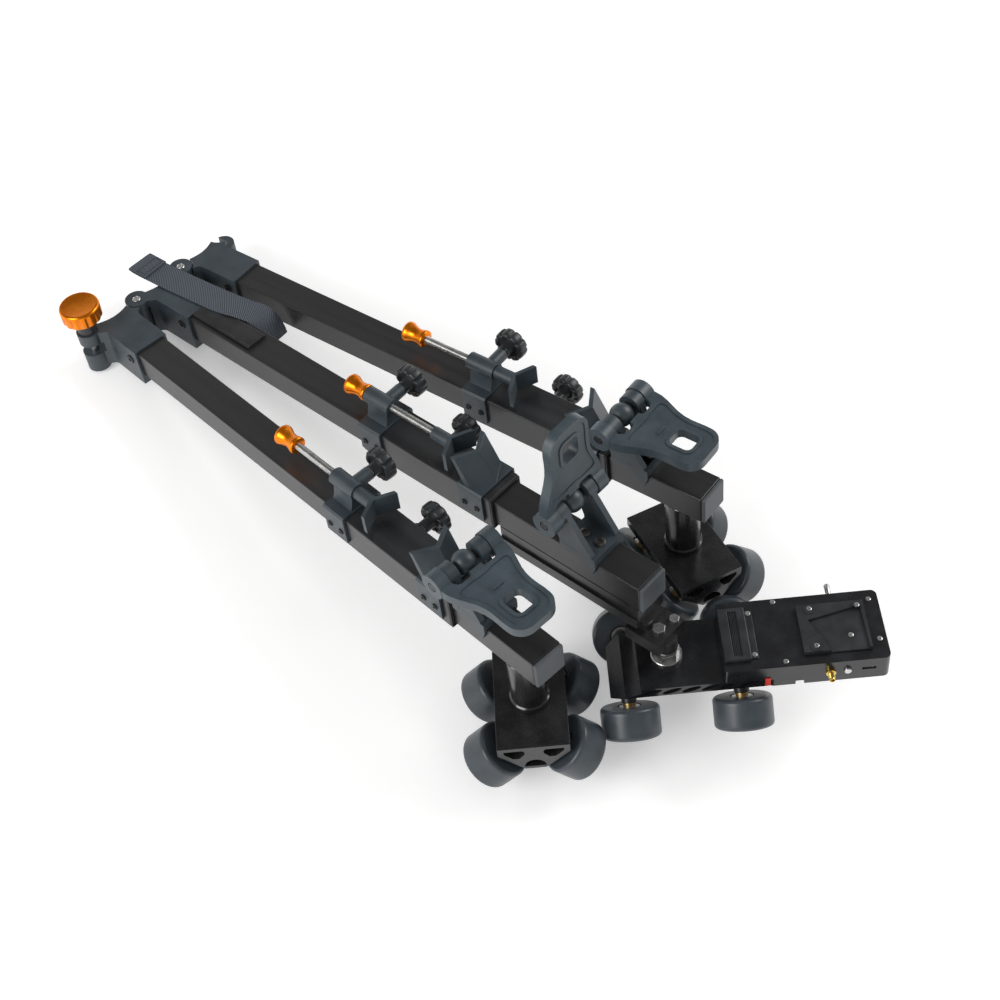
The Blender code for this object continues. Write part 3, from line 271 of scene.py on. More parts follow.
plug_look = finish("plug_plastic", (0.055, 0.062, 0.068), (0.085, 0.095, 0.105), 0.5, 900.0, 0.00004)
for side, leg in LEGS.items():
    black = finish(side + "_drawn_black", (0.010, 0.0098, 0.010), (0.019, 0.0185, 0.0188), 0.33, 1500.0,
                   0.00002, leg, IOR=1.6)
    mouth = TUBE_LENGTH[side] - PLUG_THICKNESS
    half_width, half_height = TUBE_WIDTH / 2, TUBE_HEIGHT / 2
    tube = block((TUBE_START, mouth), (-half_width, half_width), (-half_height, half_height))
    piece(tube, side + "_leg_tube", side + "_leg", "black_metal", black, leg, side + "_tube", bevel=1.4, steps=3)
    plug = block((mouth - PLUG_INSET, TUBE_LENGTH[side]), (PLUG_INSET - half_width, half_width - PLUG_INSET),
                 (PLUG_INSET - half_height, half_height - PLUG_INSET))
    piece(plug, side + "_tube_plug", side + "_leg", "black_plastic", plug_look, leg, bevel=1.6, steps=2)

# Hinge brackets. Three grey castings at the hub, each a socket for its tube and a plate
# with two lugs. The middle one has forked ears, the left a clevis, the right a tongue.
LUG_Y = 32.75
LUG_X = -71.3
LUG_RADIUS = 13.0
SOCKET_HALF = 20.5
BRACKET_TOP = 18.5
BRACKET_BOTTOM = -27.0
EAR_TOP = 9.2
EAR_BOTTOM = -17.7
CLEVIS_GAP = (-9.0, 4.0)
CLEVIS_FOOT = -32.0
PIN_RADIUS = 4.7
PLAY = 0.3
ABOVE, BELOW = 30.0, -40.0
LUG_ROOM = LUG_RADIUS + 1.5
HUB_ROOM = LUG_RADIUS + 3.0


def arc(centre, radius, start, end, steps):
    """Points along an arc, angles in degrees."""
    angles = [math.radians(start + (end - start) * i / steps) for i in range(steps + 1)]
    return [(centre[0] + radius * math.cos(angle), centre[1] + radius * math.sin(angle)) for angle in angles]


def mirrored(points):
    """A half outline with y above 0, closed by its own mirror image."""
    return points + [(x, -y) for x, y in reversed(points) if abs(y) > 0.001]


def plate(loops, low, high, across="z"):
    """An outline and its holes, extruded across one axis. Outlines are (x, y), (x, z) or (y, z)."""
    bm = bmesh.new()
    for loop in loops:
        corners = [bm.verts.new((a, b, 0.0)) for a, b in loop]
        for first, second in zip(corners, corners[1:] + corners[:1]):
            bm.edges.new((first, second))
    bmesh.ops.triangle_fill(bm, edges=bm.edges, use_beauty=True, normal=(0.0, 0.0, 1.0))
    raised = bmesh.ops.extrude_face_region(bm, geom=bm.faces[:])
    bmesh.ops.translate(bm, vec=(0.0, 0.0, high - low),
                        verts=[item for item in raised["geom"] if isinstance(item, bmesh.types.BMVert)])
    bmesh.ops.translate(bm, vec=(0.0, 0.0, low), verts=bm.verts)
    turn = {"z": Matrix.Identity(3), "y": Matrix(((1, 0, 0), (0, 0, 1), (0, 1, 0))),
            "x": Matrix(((0, 0, 1), (1, 0, 0), (0, 1, 0)))}[across]
    bmesh.ops.transform(bm, matrix=turn.to_4x4(), verts=bm.verts)
    bmesh.ops.recalc_face_normals(bm, faces=bm.faces)
    return bm


def rod(radius, start, end, steps=48, end_radius=None):
    """A rod or cone between two points."""
    start, end = Vector(start), Vector(end)
    aim = (end - start).to_track_quat("Z", "Y").to_matrix().to_4x4()
    bm = bmesh.new()
    bmesh.ops.create_cone(bm, cap_ends=True, segments=steps, radius1=radius,
                          radius2=radius if end_radius is None else end_radius, depth=(end - start).length,
                          matrix=Matrix.Translation((start + end) / 2) @ aim)
    return bm


def cast(first, add=(), cut=()):
    """Shapes joined and cut as a casting and its machining are."""
    shapes = []
    for bm in (first, *add, *cut):
        bmesh.ops.recalc_face_normals(bm, faces=bm.faces)
        shape = bpy.data.objects.new("blank", bpy.data.meshes.new("blank"))
        bm.to_mesh(shape.data)
        bm.free()
        bpy.context.scene.collection.objects.link(shape)
        shapes.append(shape)
    for i, shape in enumerate(shapes[1:]):
        step = shapes[0].modifiers.new("step", "BOOLEAN")
        step.operation = "UNION" if i < len(add) else "DIFFERENCE"
        step.solver = "EXACT"
        step.object = shape
    bpy.context.view_layer.update()
    bm = bmesh.new()
    bm.from_object(shapes[0], bpy.context.evaluated_depsgraph_get())
    for shape in shapes:
        mesh = shape.data
        bpy.data.objects.remove(shape)
        bpy.data.meshes.remove(mesh)
    return bm


def bracket_blank():
    """The shape that all three brackets are machined from: a socket block and a plate with lugs."""
    half = [(-23.0, SOCKET_HALF), (-46.0, SOCKET_HALF)]
    half += arc((-48.0, SOCKET_HALF + 9.0), 9.0, -90.0, -125.0, 6)[1:]
    half += arc((LUG_X, LUG_Y), LUG_RADIUS, -18.0, 266.0, 40)
    half += [(-72.0 + 5.0 * math.cos(math.pi / 2 * y / 20.75), y)
             for y in (19.5, 17.0, 13.5, 10.0, 6.6, 3.3, 0.0)]
    socket = block((-46.0, 0.0), (-SOCKET_HALF, SOCKET_HALF), (BRACKET_BOTTOM - 0.01, BRACKET_TOP + 0.01))
    return cast(plate([mirrored(half)], BRACKET_BOTTOM, BRACKET_TOP), [socket])


def lug_bore(y, radius, low, high):
    """A round cut about the lug at y, between two heights."""
    return rod(radius, (LUG_X, y, low), (LUG_X, y, high))


def tube_socket():
    """The room for the leg tube's end."""
    return block((-40.3, 1.0), (-17.8, 17.8), (-16.3, 16.3))


def pin_hole(y):
    """A hole for a hinge pin or the hub stud."""
    return lug_bore(y, PIN_RADIUS + PLAY, BELOW, ABOVE)


def ear(y):
    """The cuts that leave a single ear for the middle bracket's fork, with its pin hole."""
    return [lug_bore(y, LUG_ROOM, EAR_TOP, ABOVE), lug_bore(y, LUG_ROOM, BELOW, EAR_BOTTOM), pin_hole(y)]


middle_bracket = cast(bracket_blank(), cut=[tube_socket()] + [
    cut for y in (-LUG_Y, LUG_Y) for cut in (lug_bore(y, LUG_ROOM, EAR_BOTTOM - PLAY, EAR_TOP + PLAY), pin_hole(y))])
left_bracket = cast(bracket_blank(), [lug_bore(-LUG_Y, LUG_RADIUS, CLEVIS_FOOT, BRACKET_BOTTOM + 8.0)], [
    tube_socket(), *ear(LUG_Y), lug_bore(-LUG_Y, HUB_ROOM, *CLEVIS_GAP), pin_hole(-LUG_Y)])
right_bracket = cast(bracket_blank(), cut=[
    tube_socket(), *ear(-LUG_Y), lug_bore(LUG_Y, HUB_ROOM, CLEVIS_GAP[1] - PLAY, ABOVE),
    lug_bore(LUG_Y, HUB_ROOM, BELOW, CLEVIS_GAP[0] + PLAY), pin_hole(LUG_Y),
    block((LUG_X - 26.0, LUG_X), (LUG_Y - 5.0, LUG_Y + 5.0), (BELOW, ABOVE))])
cast_look = finish("cast_grey", (0.021, 0.031, 0.039), (0.038, 0.053, 0.064), 0.43, 1300.0, 0.00012,
                   IOR=1.6)
for side, bracket in (("middle", middle_bracket), ("left", left_bracket), ("right", right_bracket)):
    piece(bracket, side + "_bracket_casting", side + "_leg", "cast_grey", cast_look, LEGS[side],
          side + "_hinge_bracket", bevel=0.9, steps=3)


def cap_screw(radius, height, socket):
    """A screw head with a hexagon socket, standing on Z = 0."""
    bm = bmesh.new()
    bmesh.ops.create_cone(bm, cap_ends=True, segments=24, radius1=radius, radius2=radius, depth=height,
                          matrix=Matrix.Translation((0.0, 0.0, height / 2)))
    top = [face for face in bm.faces if face.normal.z > 0.9][0]
    bmesh.ops.bevel(bm, geom=top.edges[:], offset=radius * 0.16, segments=2, profile=0.5, affect="EDGES",
                    clamp_overlap=True, material=-1)
    bm.faces.ensure_lookup_table()
    top = max(bm.faces, key=lambda face: (round(face.calc_center_median().z, 4), face.calc_area()))
    bmesh.ops.inset_region(bm, faces=[top], thickness=radius * 0.2)
    for vert in top.verts:
        angle = math.atan2(vert.co.y, vert.co.x) % (math.pi / 3) - math.pi / 6
        reach = socket * math.cos(math.pi / 6) / math.cos(angle)
        vert.co.xy = vert.co.xy.normalized() * reach
    bmesh.ops.inset_region(bm, faces=[top], thickness=0.0, depth=0.0)
    bmesh.ops.translate(bm, vec=(0.0, 0.0, -height * 0.55), verts=top.verts)
    return bm


def placed(at, toward):
    """A place on a piece with Z turned toward a direction."""
    return Matrix.Translation(at) @ Vector(toward).to_track_quat("Z", "Y").to_matrix().to_4x4()


def gathered(shapes):
    """Copies of shapes put in their places, as one group of separate bodies."""
    bm = bmesh.new()
    for shape, place in shapes:
        copy = shape.copy()
        bmesh.ops.transform(copy, matrix=place, verts=copy.verts)
        mesh = bpy.data.meshes.new("group")
        copy.to_mesh(mesh)
        copy.free()
        bm.from_mesh(mesh)
        bpy.data.meshes.remove(mesh)
    return bm


def repeated(shape, places):
    """One shape at several places, as one group of separate bodies."""
    return gathered([(shape, place) for place in places])


black_screw = finish("blackened_screw", (0.02, 0.02, 0.022), (0.05, 0.05, 0.052), 0.35, 2000.0, 0.00003,
                     Metallic=0.6)
steel = finish("bright_steel", (0.50, 0.50, 0.49), (0.68, 0.68, 0.67), 0.3, 2400.0, 0.00002, Metallic=1.0)
socket_screw = cap_screw(5.2, 2.0, 2.6)
for side, leg in LEGS.items():
    places = [placed((-14.0, sign * (SOCKET_HALF - 0.2), 2.0), (0, sign, 0)) for sign in (-1, 1)]
    under = [placed((-7.0, y, BRACKET_BOTTOM + 0.2), (0, 0, -1)) for y in (-12.0, 12.0)]
    piece(repeated(socket_screw, places + under), side + "_bracket_screws", side + "_leg", "steel", black_screw,
          leg, bevel=0)

# Hinge pins. Turned steel, pressed through the ears, with a bright chamfered head.


def turned(profile, steps=64, closed=False):
    """A profile of (radius, height) points spun about Z."""
    bm = bmesh.new()
    points = [bm.verts.new((radius, 0.0, height)) for radius, height in profile]
    for first, second in zip(points, points[1:] + (points[:1] if closed else [])):
        bm.edges.new((first, second))
    bmesh.ops.spin(bm, geom=bm.verts[:] + bm.edges[:], cent=(0, 0, 0), axis=(0, 0, 1), angle=2 * math.pi,
                   steps=steps, use_merge=True)
    bmesh.ops.remove_doubles(bm, verts=bm.verts, dist=0.0005)
    bmesh.ops.recalc_face_normals(bm, faces=bm.faces)
    return bm


pin = turned([(0, 19.1), (1.6, 19.1), (2.0, 18.6), (3.4, 18.6), (3.9, 19.1), (PIN_RADIUS, 18.4),
              (PIN_RADIUS, BRACKET_BOTTOM), (0, BRACKET_BOTTOM)], 48)
for side, y in (("left", -LUG_Y), ("right", LUG_Y)):
    piece(pin, side + "_pin", "middle_leg", "steel", steel, LEGS["middle"] @ Matrix.Translation((LUG_X, y, 0)),
          side + "_hinge_pin", bevel=0.2)

# Hub lock knob. An orange anodised grip with shallow flutes, screwed on a black collar, and
# the steel stud that draws the tongue into the clevis when the legs are open.
COLLAR_BASE = 18.8
COLLAR_TOP = 37.2
GRIP_BASE = 37.3
GRIP_TOP = 55.3
GRIP_RADIUS = 22.0
STUD_END = CLEVIS_FOOT + 1.0


def flute(bm, lobes, depth, inner, bottom, top, narrow=2):
    """Flutes round a turned grip, on the part of its rim between two heights.

    Narrow is 2 for flutes about as wide as the lobes between them, and more for notches."""
    for vert in bm.verts:
        if vert.co.xy.length > inner and bottom < vert.co.z < top:
            around = lobes * math.atan2(vert.co.y, vert.co.x)
            vert.co.xy *= 1.0 - depth * (0.5 - 0.5 * math.cos(around)) ** narrow / vert.co.xy.length


orange = finish("orange_anodised", (0.82, 0.195, 0.004), (0.94, 0.275, 0.012), 0.28, 1600.0, 0.00002,
                Metallic=0.9)
hub = LEGS["left"] @ Matrix.Translation((LUG_X, -LUG_Y, 0))
grip = turned([(0, GRIP_TOP - 0.5), (18.0, GRIP_TOP - 0.5), (19.6, GRIP_TOP), (20.6, GRIP_TOP - 0.3),
               (21.6, GRIP_TOP - 1.6), (GRIP_RADIUS, GRIP_TOP - 2.8), (GRIP_RADIUS, GRIP_TOP - 4.2),
               (GRIP_RADIUS, GRIP_BASE + 2.4), (21.4, GRIP_BASE + 0.9), (20.0, GRIP_BASE), (0, GRIP_BASE)], 168)
flute(grip, 14, 1.5, 20.5, GRIP_BASE - 1.0, GRIP_TOP - 3.0)
piece(grip, "hub_knob_grip", "hub_knob", "orange_metal", orange, hub, "hub_knob", bevel=0)
collar = turned([(0, COLLAR_TOP), (9.4, COLLAR_TOP), (9.8, 34.0), (10.0, 26.0), (10.4, 21.0),
                 (10.4, COLLAR_BASE), (PIN_RADIUS, COLLAR_BASE)])
stud = turned([(0, COLLAR_BASE + 2), (PIN_RADIUS, COLLAR_BASE + 2), (PIN_RADIUS, STUD_END + 1), (3.6, STUD_END),
               (0, STUD_END)], 40)
knob_black = finish("knob_plastic", (0.014, 0.015, 0.017), (0.030, 0.033, 0.036), 0.36, 1100.0, 0.00005)
piece(collar, "hub_knob_collar", "hub_knob", "black_plastic", knob_black, hub, bevel=0.5)
piece(stud, "hub_knob_stud", "hub_knob", "steel", steel, hub, bevel=0.3)

# Carry strap. A nylon band in a diagonal weave, folded back and sewn at the hub, which lies
# over the brackets and drops between two legs. A pad of the same webbing is on the tube.
STRAP_SEAT = 19.9
STRAP_HALF_WIDTH = 16.0
STRAP_THICKNESS = 1.9
PAD_LEVEL = 17.9


def smooth_route(stations, steps):
    """Stations joined by a smooth curve that passes through each of them."""
    stations = [Vector(station) for station in stations]
    ends = [2 * stations[0] - stations[1], *stations, 2 * stations[-1] - stations[-2]]
    route = []
    for a, b, c, d in zip(ends, ends[1:], ends[2:], ends[3:]):
        for i in range(steps):
            t = i / steps
            route.append(0.5 * (2 * b + (c - a) * t + (2 * a - 5 * b + 4 * c - d) * t ** 2
                                + (3 * b - a - 3 * c + d) * t ** 3))
    return route + [stations[-1]]


def band(route, half_width, thickness):
    """Webbing along a route of x, y, z and lean, with a weave map in metres."""
    bm = bmesh.new()
    weave = bm.loops.layers.uv.new("weave")
    rings, length = [], 0.0
    for i, station in enumerate(route):
        before, after = route[max(i - 1, 0)], route[min(i + 1, len(route) - 1)]
        run = (after.xyz - before.xyz).normalized()
        across = Vector((0.0, 1.0, -station.w * 0.5))
        across = (across - run * across.dot(run)).normalized()
        normal = run.cross(across)
        length += (station.xyz - before.xyz).length if i else 0.0
        ring = []
        for face, sides in ((1, range(-6, 7)), (-1, range(6, -7, -1))):
            for side in sides:
                edge = 0.25 if abs(side) == 6 else 0.5
                at = station.xyz + across * (half_width * side / 6) + normal * (face * thickness * edge)
                ring.append((bm.verts.new(at), half_width * side / 6, length))
        rings.append(ring)
    for first, second in zip(rings, rings[1:]):
        for j in range(len(first)):
            corners = (first[j - 1], first[j], second[j], second[j - 1])
            face = bm.faces.new([corner[0] for corner in corners])
            for loop, corner in zip(face.loops, corners):
                loop[weave].uv = (corner[1] * MM, corner[2] * MM)
    for ring in (rings[0], rings[-1]):
        bm.faces.new([corner[0] for corner in ring])
    bmesh.ops.recalc_face_normals(bm, faces=bm.faces)
    return bm


webbing = bpy.data.materials.new("strap_webbing")
webbing.use_nodes = True
wire = Wire(webbing.node_tree)
weave = wire.node("ShaderNodeUVMap", {"uv_map": "weave"})
across = wire.node("ShaderNodeSeparateXYZ", None, {0: weave}, "X")
along = wire.node("ShaderNodeSeparateXYZ", None, {0: weave}, "Y")
ridges = wire.math("SINE", along * 2500.0 + across * 1900.0)
cross_yarn = wire.math("SINE", along * 2500.0 - across * 5200.0)
twill = ridges + 0.35 * cross_yarn
fuzz = wire.node("ShaderNodeTexNoise", None, {"Vector": wire.node("ShaderNodeTexCoord", None, None, "Object"),
                                              "Scale": 2600.0, "Detail": 2.0})
yarn = (twill * 0.6 + fuzz).span(-0.1, 1.2)
shader = webbing.node_tree.nodes["Principled BSDF"]
bump = wire.node("ShaderNodeBump", None, {"Height": yarn, "Strength": 0.6, "Distance": 0.0004})
dyed = yarn.blend((0.020, 0.024, 0.030), (0.115, 0.135, 0.165))
for name, value in (("Base Color", dyed), ("Roughness", yarn.span(0.0, 1.0, 0.9, 0.7)), ("Normal", bump)):
    webbing.node_tree.links.new(value.socket, shader.inputs[name])

strap = band(smooth_route([
    (-86, 10, 22.3, 0), (-104, 9.3, 22.4, 0), (-112, 9, 22.2, 0), (-113.6, 9, 21.1, 0), (-112, 9, STRAP_SEAT, 0),
    (-98, 9, STRAP_SEAT, 0), (-60, 12, STRAP_SEAT, 0), (-20, 16, STRAP_SEAT, 0), (15, 20, STRAP_SEAT, 0),
    (44, 27, 18.4, 0.3), (60, 35, 10, 0.5), (68, 37, -4, 0.5), (72, 37.5, -19.5, 0.5)], 8),
    STRAP_HALF_WIDTH, STRAP_THICKNESS)
pad = band(smooth_route([(x, -0.5, PAD_LEVEL, 0) for x in (1, 46, 91)], 10), 12.3, 3.0)
piece(strap, "strap_band", "middle_leg", "webbing", webbing, LEGS["middle"], "carry_strap", bevel=0)
pad_look = finish("pad_black", (0.010, 0.010, 0.011), (0.022, 0.022, 0.024), 0.55, 1600.0, 0.00008)
piece(pad, "strap_pad", "middle_leg", "webbing", pad_look, LEGS["middle"], bevel=0)
thread = finish("strap_thread", (0.03, 0.032, 0.035), (0.07, 0.074, 0.08), 0.8, 2600.0, 0.00002)
stitch = block((-0.9, 0.9), (-0.35, 0.35), (-0.3, 0.3))
seams = [((-90.0, y, 23.5), (0, 1, 0)) for y in range(-4, 25, 3)]
seams += [((-101.0, y, 23.6), (0, 1, 0)) for y in range(-5, 24, 3)]
seams += [((x, y, 23.5), (1, 0, 0)) for y in (-4.0, 23.0) for x in (-93.0, -95.8, -98.6)]
seams += [((x, y, 19.5), (1, 0, 0)) for y in (-11.0, 10.0) for x in range(50, 90, 3)]
stitches = repeated(stitch, [Matrix.Translation(at) @ Vector(run).to_track_quat("X", "Z").to_matrix().to_4x4()
                             for at, run in seams])
piece(stitches, "strap_stitches", "middle_leg", "webbing", thread, LEGS["middle"], bevel=0)

# Sliding sleeves. A length of larger rectangular tube around each leg tube, with a plastic
# slide bush pressed into both ends and a bush for the lock knob on the far side.
SLEEVE_START = {"left": 322.0, "middle": 267.0, "right": 322.0}
SLEEVE_LENGTH = 175.0
SLEEVE_LOCK = 79.0
LIP = 1.5
SLEEVES = {side: leg @ Matrix.Translation((SLEEVE_START[side], 0, 0)) for side, leg in LEGS.items()}
bush_look = finish("bush_plastic", (0.012, 0.013, 0.014), (0.024, 0.026, 0.028), 0.5, 1200.0, 0.00004)
for side, place in SLEEVES.items():
    body = side + "_sleeve"
    grey = finish(body + "_anodised", (0.012, 0.0125, 0.014), (0.022, 0.023, 0.025), 0.33, 1500.0, 0.00003,
                  place, IOR=1.6)
    shell = cast(block((0, SLEEVE_LENGTH), (-21.6, 21.6), (-20.1, 20.1)), cut=[
        block((-5, SLEEVE_LENGTH + 5), (-18.6, 18.6), (-17.1, 17.1)),
        rod(3.4, (SLEEVE_LOCK, 0, 0), (SLEEVE_LOCK, 40, 0))])
    piece(shell, body + "_shell", body, "black_metal", grey, place, body + "_tube", bevel=1.5, steps=3)
    lip = cast(block((-LIP, 0), (-21.3, 21.3), (-19.8, 19.8)),
               cut=[block((-LIP - 2, 2), (-17.8, 17.8), (-16.3, 16.3))])
    lips = repeated(lip, [Matrix.Translation((x, 0, 0)) for x in (0.0, SLEEVE_LENGTH + LIP)])
    piece(lips, side + "_slide_bushes", body, "black_plastic", bush_look, place, bevel=0.5)
    boss = turned([(8, 20.9), (8, 29.2), (7.2, 30), (3.4, 30), (3.4, 20.9)], closed=True)
    piece(boss, body + "_boss", body, "black_metal", grey, place @ placed((SLEEVE_LOCK, 0, 0), (0, 1, 0)),
          bevel=0.3)

# Foot clamps. A saddle and a V block, each a grey casting whose skirts wrap the sleeve and
# are held by socket screws. The saddle's barrel takes the push screw.
AXIS_HEIGHT = 42.5
ROD_LOCK = 19.0
COLLAR_FLANK = 24.5
V_ROOT, V_TIP, V_HALF = 157.0, 144.0, 22.0
V_TOP_SETBACK = 14.0


def both_sides(points):
    """A half outline with its first coordinate above 0, closed by its own mirror image."""
    return points + [(-a, b) for a, b in reversed(points) if abs(a) > 0.001]


def clamp_collar(start, end):
    """A saddle's plate on the sleeve, with a skirt down each side."""
    outline = both_sides([(21.9, 20.4), (21.9, -12.0), (24.6, -12.0), (24.6, 21.1), (22.6, 23.1)])
    return plate([outline], start, end, across="x")


def v_outline(root, tip, half, thickness):
    """A V of two plates seen from above, from its root out to its tips."""
    wall = thickness * math.hypot(1, (root - tip) / half)
    return [(root, 0), (tip, -half), (tip + wall, -half), (root + wall, 0), (tip + wall, half), (tip, half)]


def along_axis(radius, start, end):
    """A barrel or bore along the push screw's axis."""
    return rod(radius, (start, 0, AXIS_HEIGHT), (end, 0, AXIS_HEIGHT))


def across_axis(radius, end):
    """A barrel or bore from the push screw's axis out to its lock knob."""
    return rod(radius, (ROD_LOCK, 0, AXIS_HEIGHT), (ROD_LOCK, end, AXIS_HEIGHT))


neck_outline = both_sides([(12, 22.1), (9.5, 28.0), (8.0, 35.0), (7, AXIS_HEIGHT)])
saddle = cast(clamp_collar(0, 30),
              [plate([neck_outline], 1.5, 28.5, across="x"), along_axis(9, -3, 30), across_axis(7, 24)],
              [along_axis(4.4, -9, 40), across_axis(3.3, 40)])
block_v = plate([v_outline(V_ROOT, V_TIP, V_HALF, 4.5)], 22.1, 55.0)
for vert in block_v.verts:
    behind = vert.co.x - (V_ROOT - (V_ROOT - V_TIP) * abs(vert.co.y) / V_HALF)
    if vert.co.z > 30:
        vert.co.x -= V_TOP_SETBACK
    elif behind > 2:
        vert.co.x += 4.2
v_block = cast(clamp_collar(135, 167), [block_v])
side_screw = cap_screw(3.4, 1.6, 1.8)
screw_places = [placed((x, sign * COLLAR_FLANK, 1), (0, sign, 0)) for sign in (-1, 1) for x in (7, 23, 143, 159)]
for side, place in SLEEVES.items():
    body = side + "_sleeve"
    piece(saddle, side + "_saddle_casting", body, "cast_grey", cast_look, place, side + "_clamp_saddle", bevel=1.0,
          steps=3)
    piece(v_block, side + "_v_block_casting", body, "cast_grey", cast_look, place, side + "_v_block", bevel=1.0,
          steps=3)
    piece(repeated(side_screw, screw_places), side + "_clamp_screws", body, "steel", black_screw, place, bevel=0)

# Push screws and jaws. A bright threaded rod with a turned orange grip shrunk on its outer
# end, and on its inner end a cast V jaw that stays level.
JAW_REST = {"left": 54.5, "middle": 111.5, "right": 54.5}
THREAD_PITCH = 1.25
THREAD_START, THREAD_END = 4.0, 118.0
THREAD_ROOT, THREAD_CREST = 3.4, 4.0
jaw = cast(plate([v_outline(0, 10.5, 21, -4)], -14.5, 7.5), [rod(7, (-24.1, 0, 0), (-2, 0, 0))],
           [rod(4.3, (-30, 0, 0), (-3.7, 0, 0))])
thread_profile = [(0, THREAD_START), (THREAD_ROOT, THREAD_START)]
for turn in range(int((THREAD_END - THREAD_START) / THREAD_PITCH)):
    height = THREAD_START + THREAD_PITCH * turn
    thread_profile += [(THREAD_ROOT, height + 0.12), (THREAD_CREST, height + 0.50), (THREAD_CREST, height + 0.75),
                       (THREAD_ROOT, height + 1.13)]
thread_profile += [(THREAD_ROOT, THREAD_END), (0, THREAD_END)]
threads = turned(thread_profile, 28)
push_grip = turned([
    (4.1, 115.2), (8.2, 115.2), (9.0, 115.8), (9.3, 117.0), (9.0, 119.2), (8.3, 121.6), (7.8, 124.2), (7.7, 127.0),
    (8.1, 129.8), (8.9, 132.4), (10.0, 134.8), (10.7, 136.6), (10.9, 138.2), (10.7, 139.8), (10.0, 140.6),
    (9.0, 140.8), (4.0, 140.8), (3.4, 140.2), (0, 140.0), (0, 116.0), (4.1, 116.0)], 96)
JAWS = {side: place @ Matrix.Translation((JAW_REST[side], 0, AXIS_HEIGHT)) for side, place in SLEEVES.items()}
for side, place in JAWS.items():
    outward = place @ placed((0, 0, 0), (-1, 0, 0))
    body = side + "_push_screw"
    piece(jaw, side + "_jaw_casting", side + "_jaw", "cast_grey", cast_look, place, side + "_v_jaw", bevel=0.9,
          steps=3)
    piece(threads, side + "_threaded_rod", body, "steel", steel, outward, body, bevel=0)
    piece(push_grip, side + "_push_grip", body, "orange_metal", orange, outward, bevel=0)

# Lock knobs. Nine-lobed black plastic knobs with a steel insert and a steel stud, one on
# each barrel and one on each sleeve.
KNOB_LOBES = 9
KNOB_THICKNESS = 13.0
NECK_RADIUS = 6.5


def star(reach):
    """A lobed knob that stands on Z = 0, turned hollow at its foot and notched round its rim."""
    rim = [(-5.6, 2.4), (-4.2, 0.6), (-3.2, 0), (-1.4, 0.4), (-0.2, 1.8), (0, 4.0), (0, 9.5), (-0.6, 11.6),
           (-2.2, 12.7), (-4.0, KNOB_THICKNESS)]
    profile = [(0, 2.4)] + [(reach + inset, height) for inset, height in rim]
    bm = turned(profile + [(5.0, KNOB_THICKNESS), (4.4, 12.2), (0, 12.2)], 144)
    flute(bm, KNOB_LOBES, 2.4, reach - 3.8, -1.0, KNOB_THICKNESS + 0.5, narrow=5)
    return bm


for kind, reach, x, z, inner, neck_start, face in (("rod_lock", 17.4, ROD_LOCK, AXIS_HEIGHT, 5.0, 24.4, 33.0),
                                                   ("sleeve_lock", 17.0, SLEEVE_LOCK, 0.0, 17.9, 30.4, 43.2)):
    neck = turned([(0, face + 2.6), (8.6, face + 2.6), (7.2, face + 0.4), (NECK_RADIUS, face - 3.0),
                   (NECK_RADIUS, neck_start + 1.2), (0, neck_start + 1.2)], 48)
    insert = turned([(0, neck_start + 1.3), (5.2, neck_start + 1.3), (5.2, neck_start + 0.4), (4.8, neck_start),
                     (3.0, neck_start), (3.0, inner + 0.5), (2.5, inner), (0, inner)], 40)
    for side, sleeve in SLEEVES.items():
        name = side + "_" + kind
        place = sleeve @ placed((x, 0, z), (0, 1, 0))
        piece(star(reach), name + "_star", name + "_knob", "black_plastic", knob_black,
              place @ Matrix.Translation((0, 0, face)), name + "_knob", bevel=0)
        piece(neck, name + "_neck", name + "_knob", "black_plastic", knob_black, place, bevel=0)
        piece(insert, name + "_insert", name + "_knob", "steel", steel, place, bevel=0)

# Lever brackets. Grey castings screwed on the leg tubes: a base, two cheeks with a fillet, a
# skirt beside the tube, and a cross pin with a ball that the lever turns on.
PIVOTS = {"left": (504.0, 0.0), "middle": (530.0, -90.0), "right": (504.0, 0.0)}
PIN_LEVEL = 63.0
BALL_RADIUS = 11.9
BASE_TOP = 24.9
cheek = [(0, 21), (38, 21), (38, 26)] + arc((0, PIN_LEVEL), 11.2, 35, 197, 24) + [(0, 29)]
lever_skirt = [(16, 23), (42, 23), (42, 14), (38, 3), (33, 7)]
lever_bracket = cast(block((0, 42), (-21, 21), (16.3, 25)), [
    plate([outline], low, high, across="y") for outline, low, high in (
        (cheek, 15, 20.9), (cheek, -20.9, -15), (lever_skirt, 17.8, 20.8), (lever_skirt, -20.8, -17.8))] + [
    rod(11.8, (0, sign * 13.4, PIN_LEVEL), (0, sign * 25, PIN_LEVEL), 64) for sign in (-1, 1)])
cross_pin = turned([(0, -39), (3.9, -39), (4.7, -38.2), (4.7, 38.2), (3.9, 39), (0, 39)], 40)
ball = bmesh.new()
bmesh.ops.create_uvsphere(ball, u_segments=48, v_segments=24, radius=BALL_RADIUS)
base_screw = cap_screw(5.4, 2.4, 2.9)
worn_screw = finish("worn_screw", (0.10, 0.095, 0.085), (0.32, 0.31, 0.28), 0.35, 2200.0, 0.00003, Metallic=0.9)
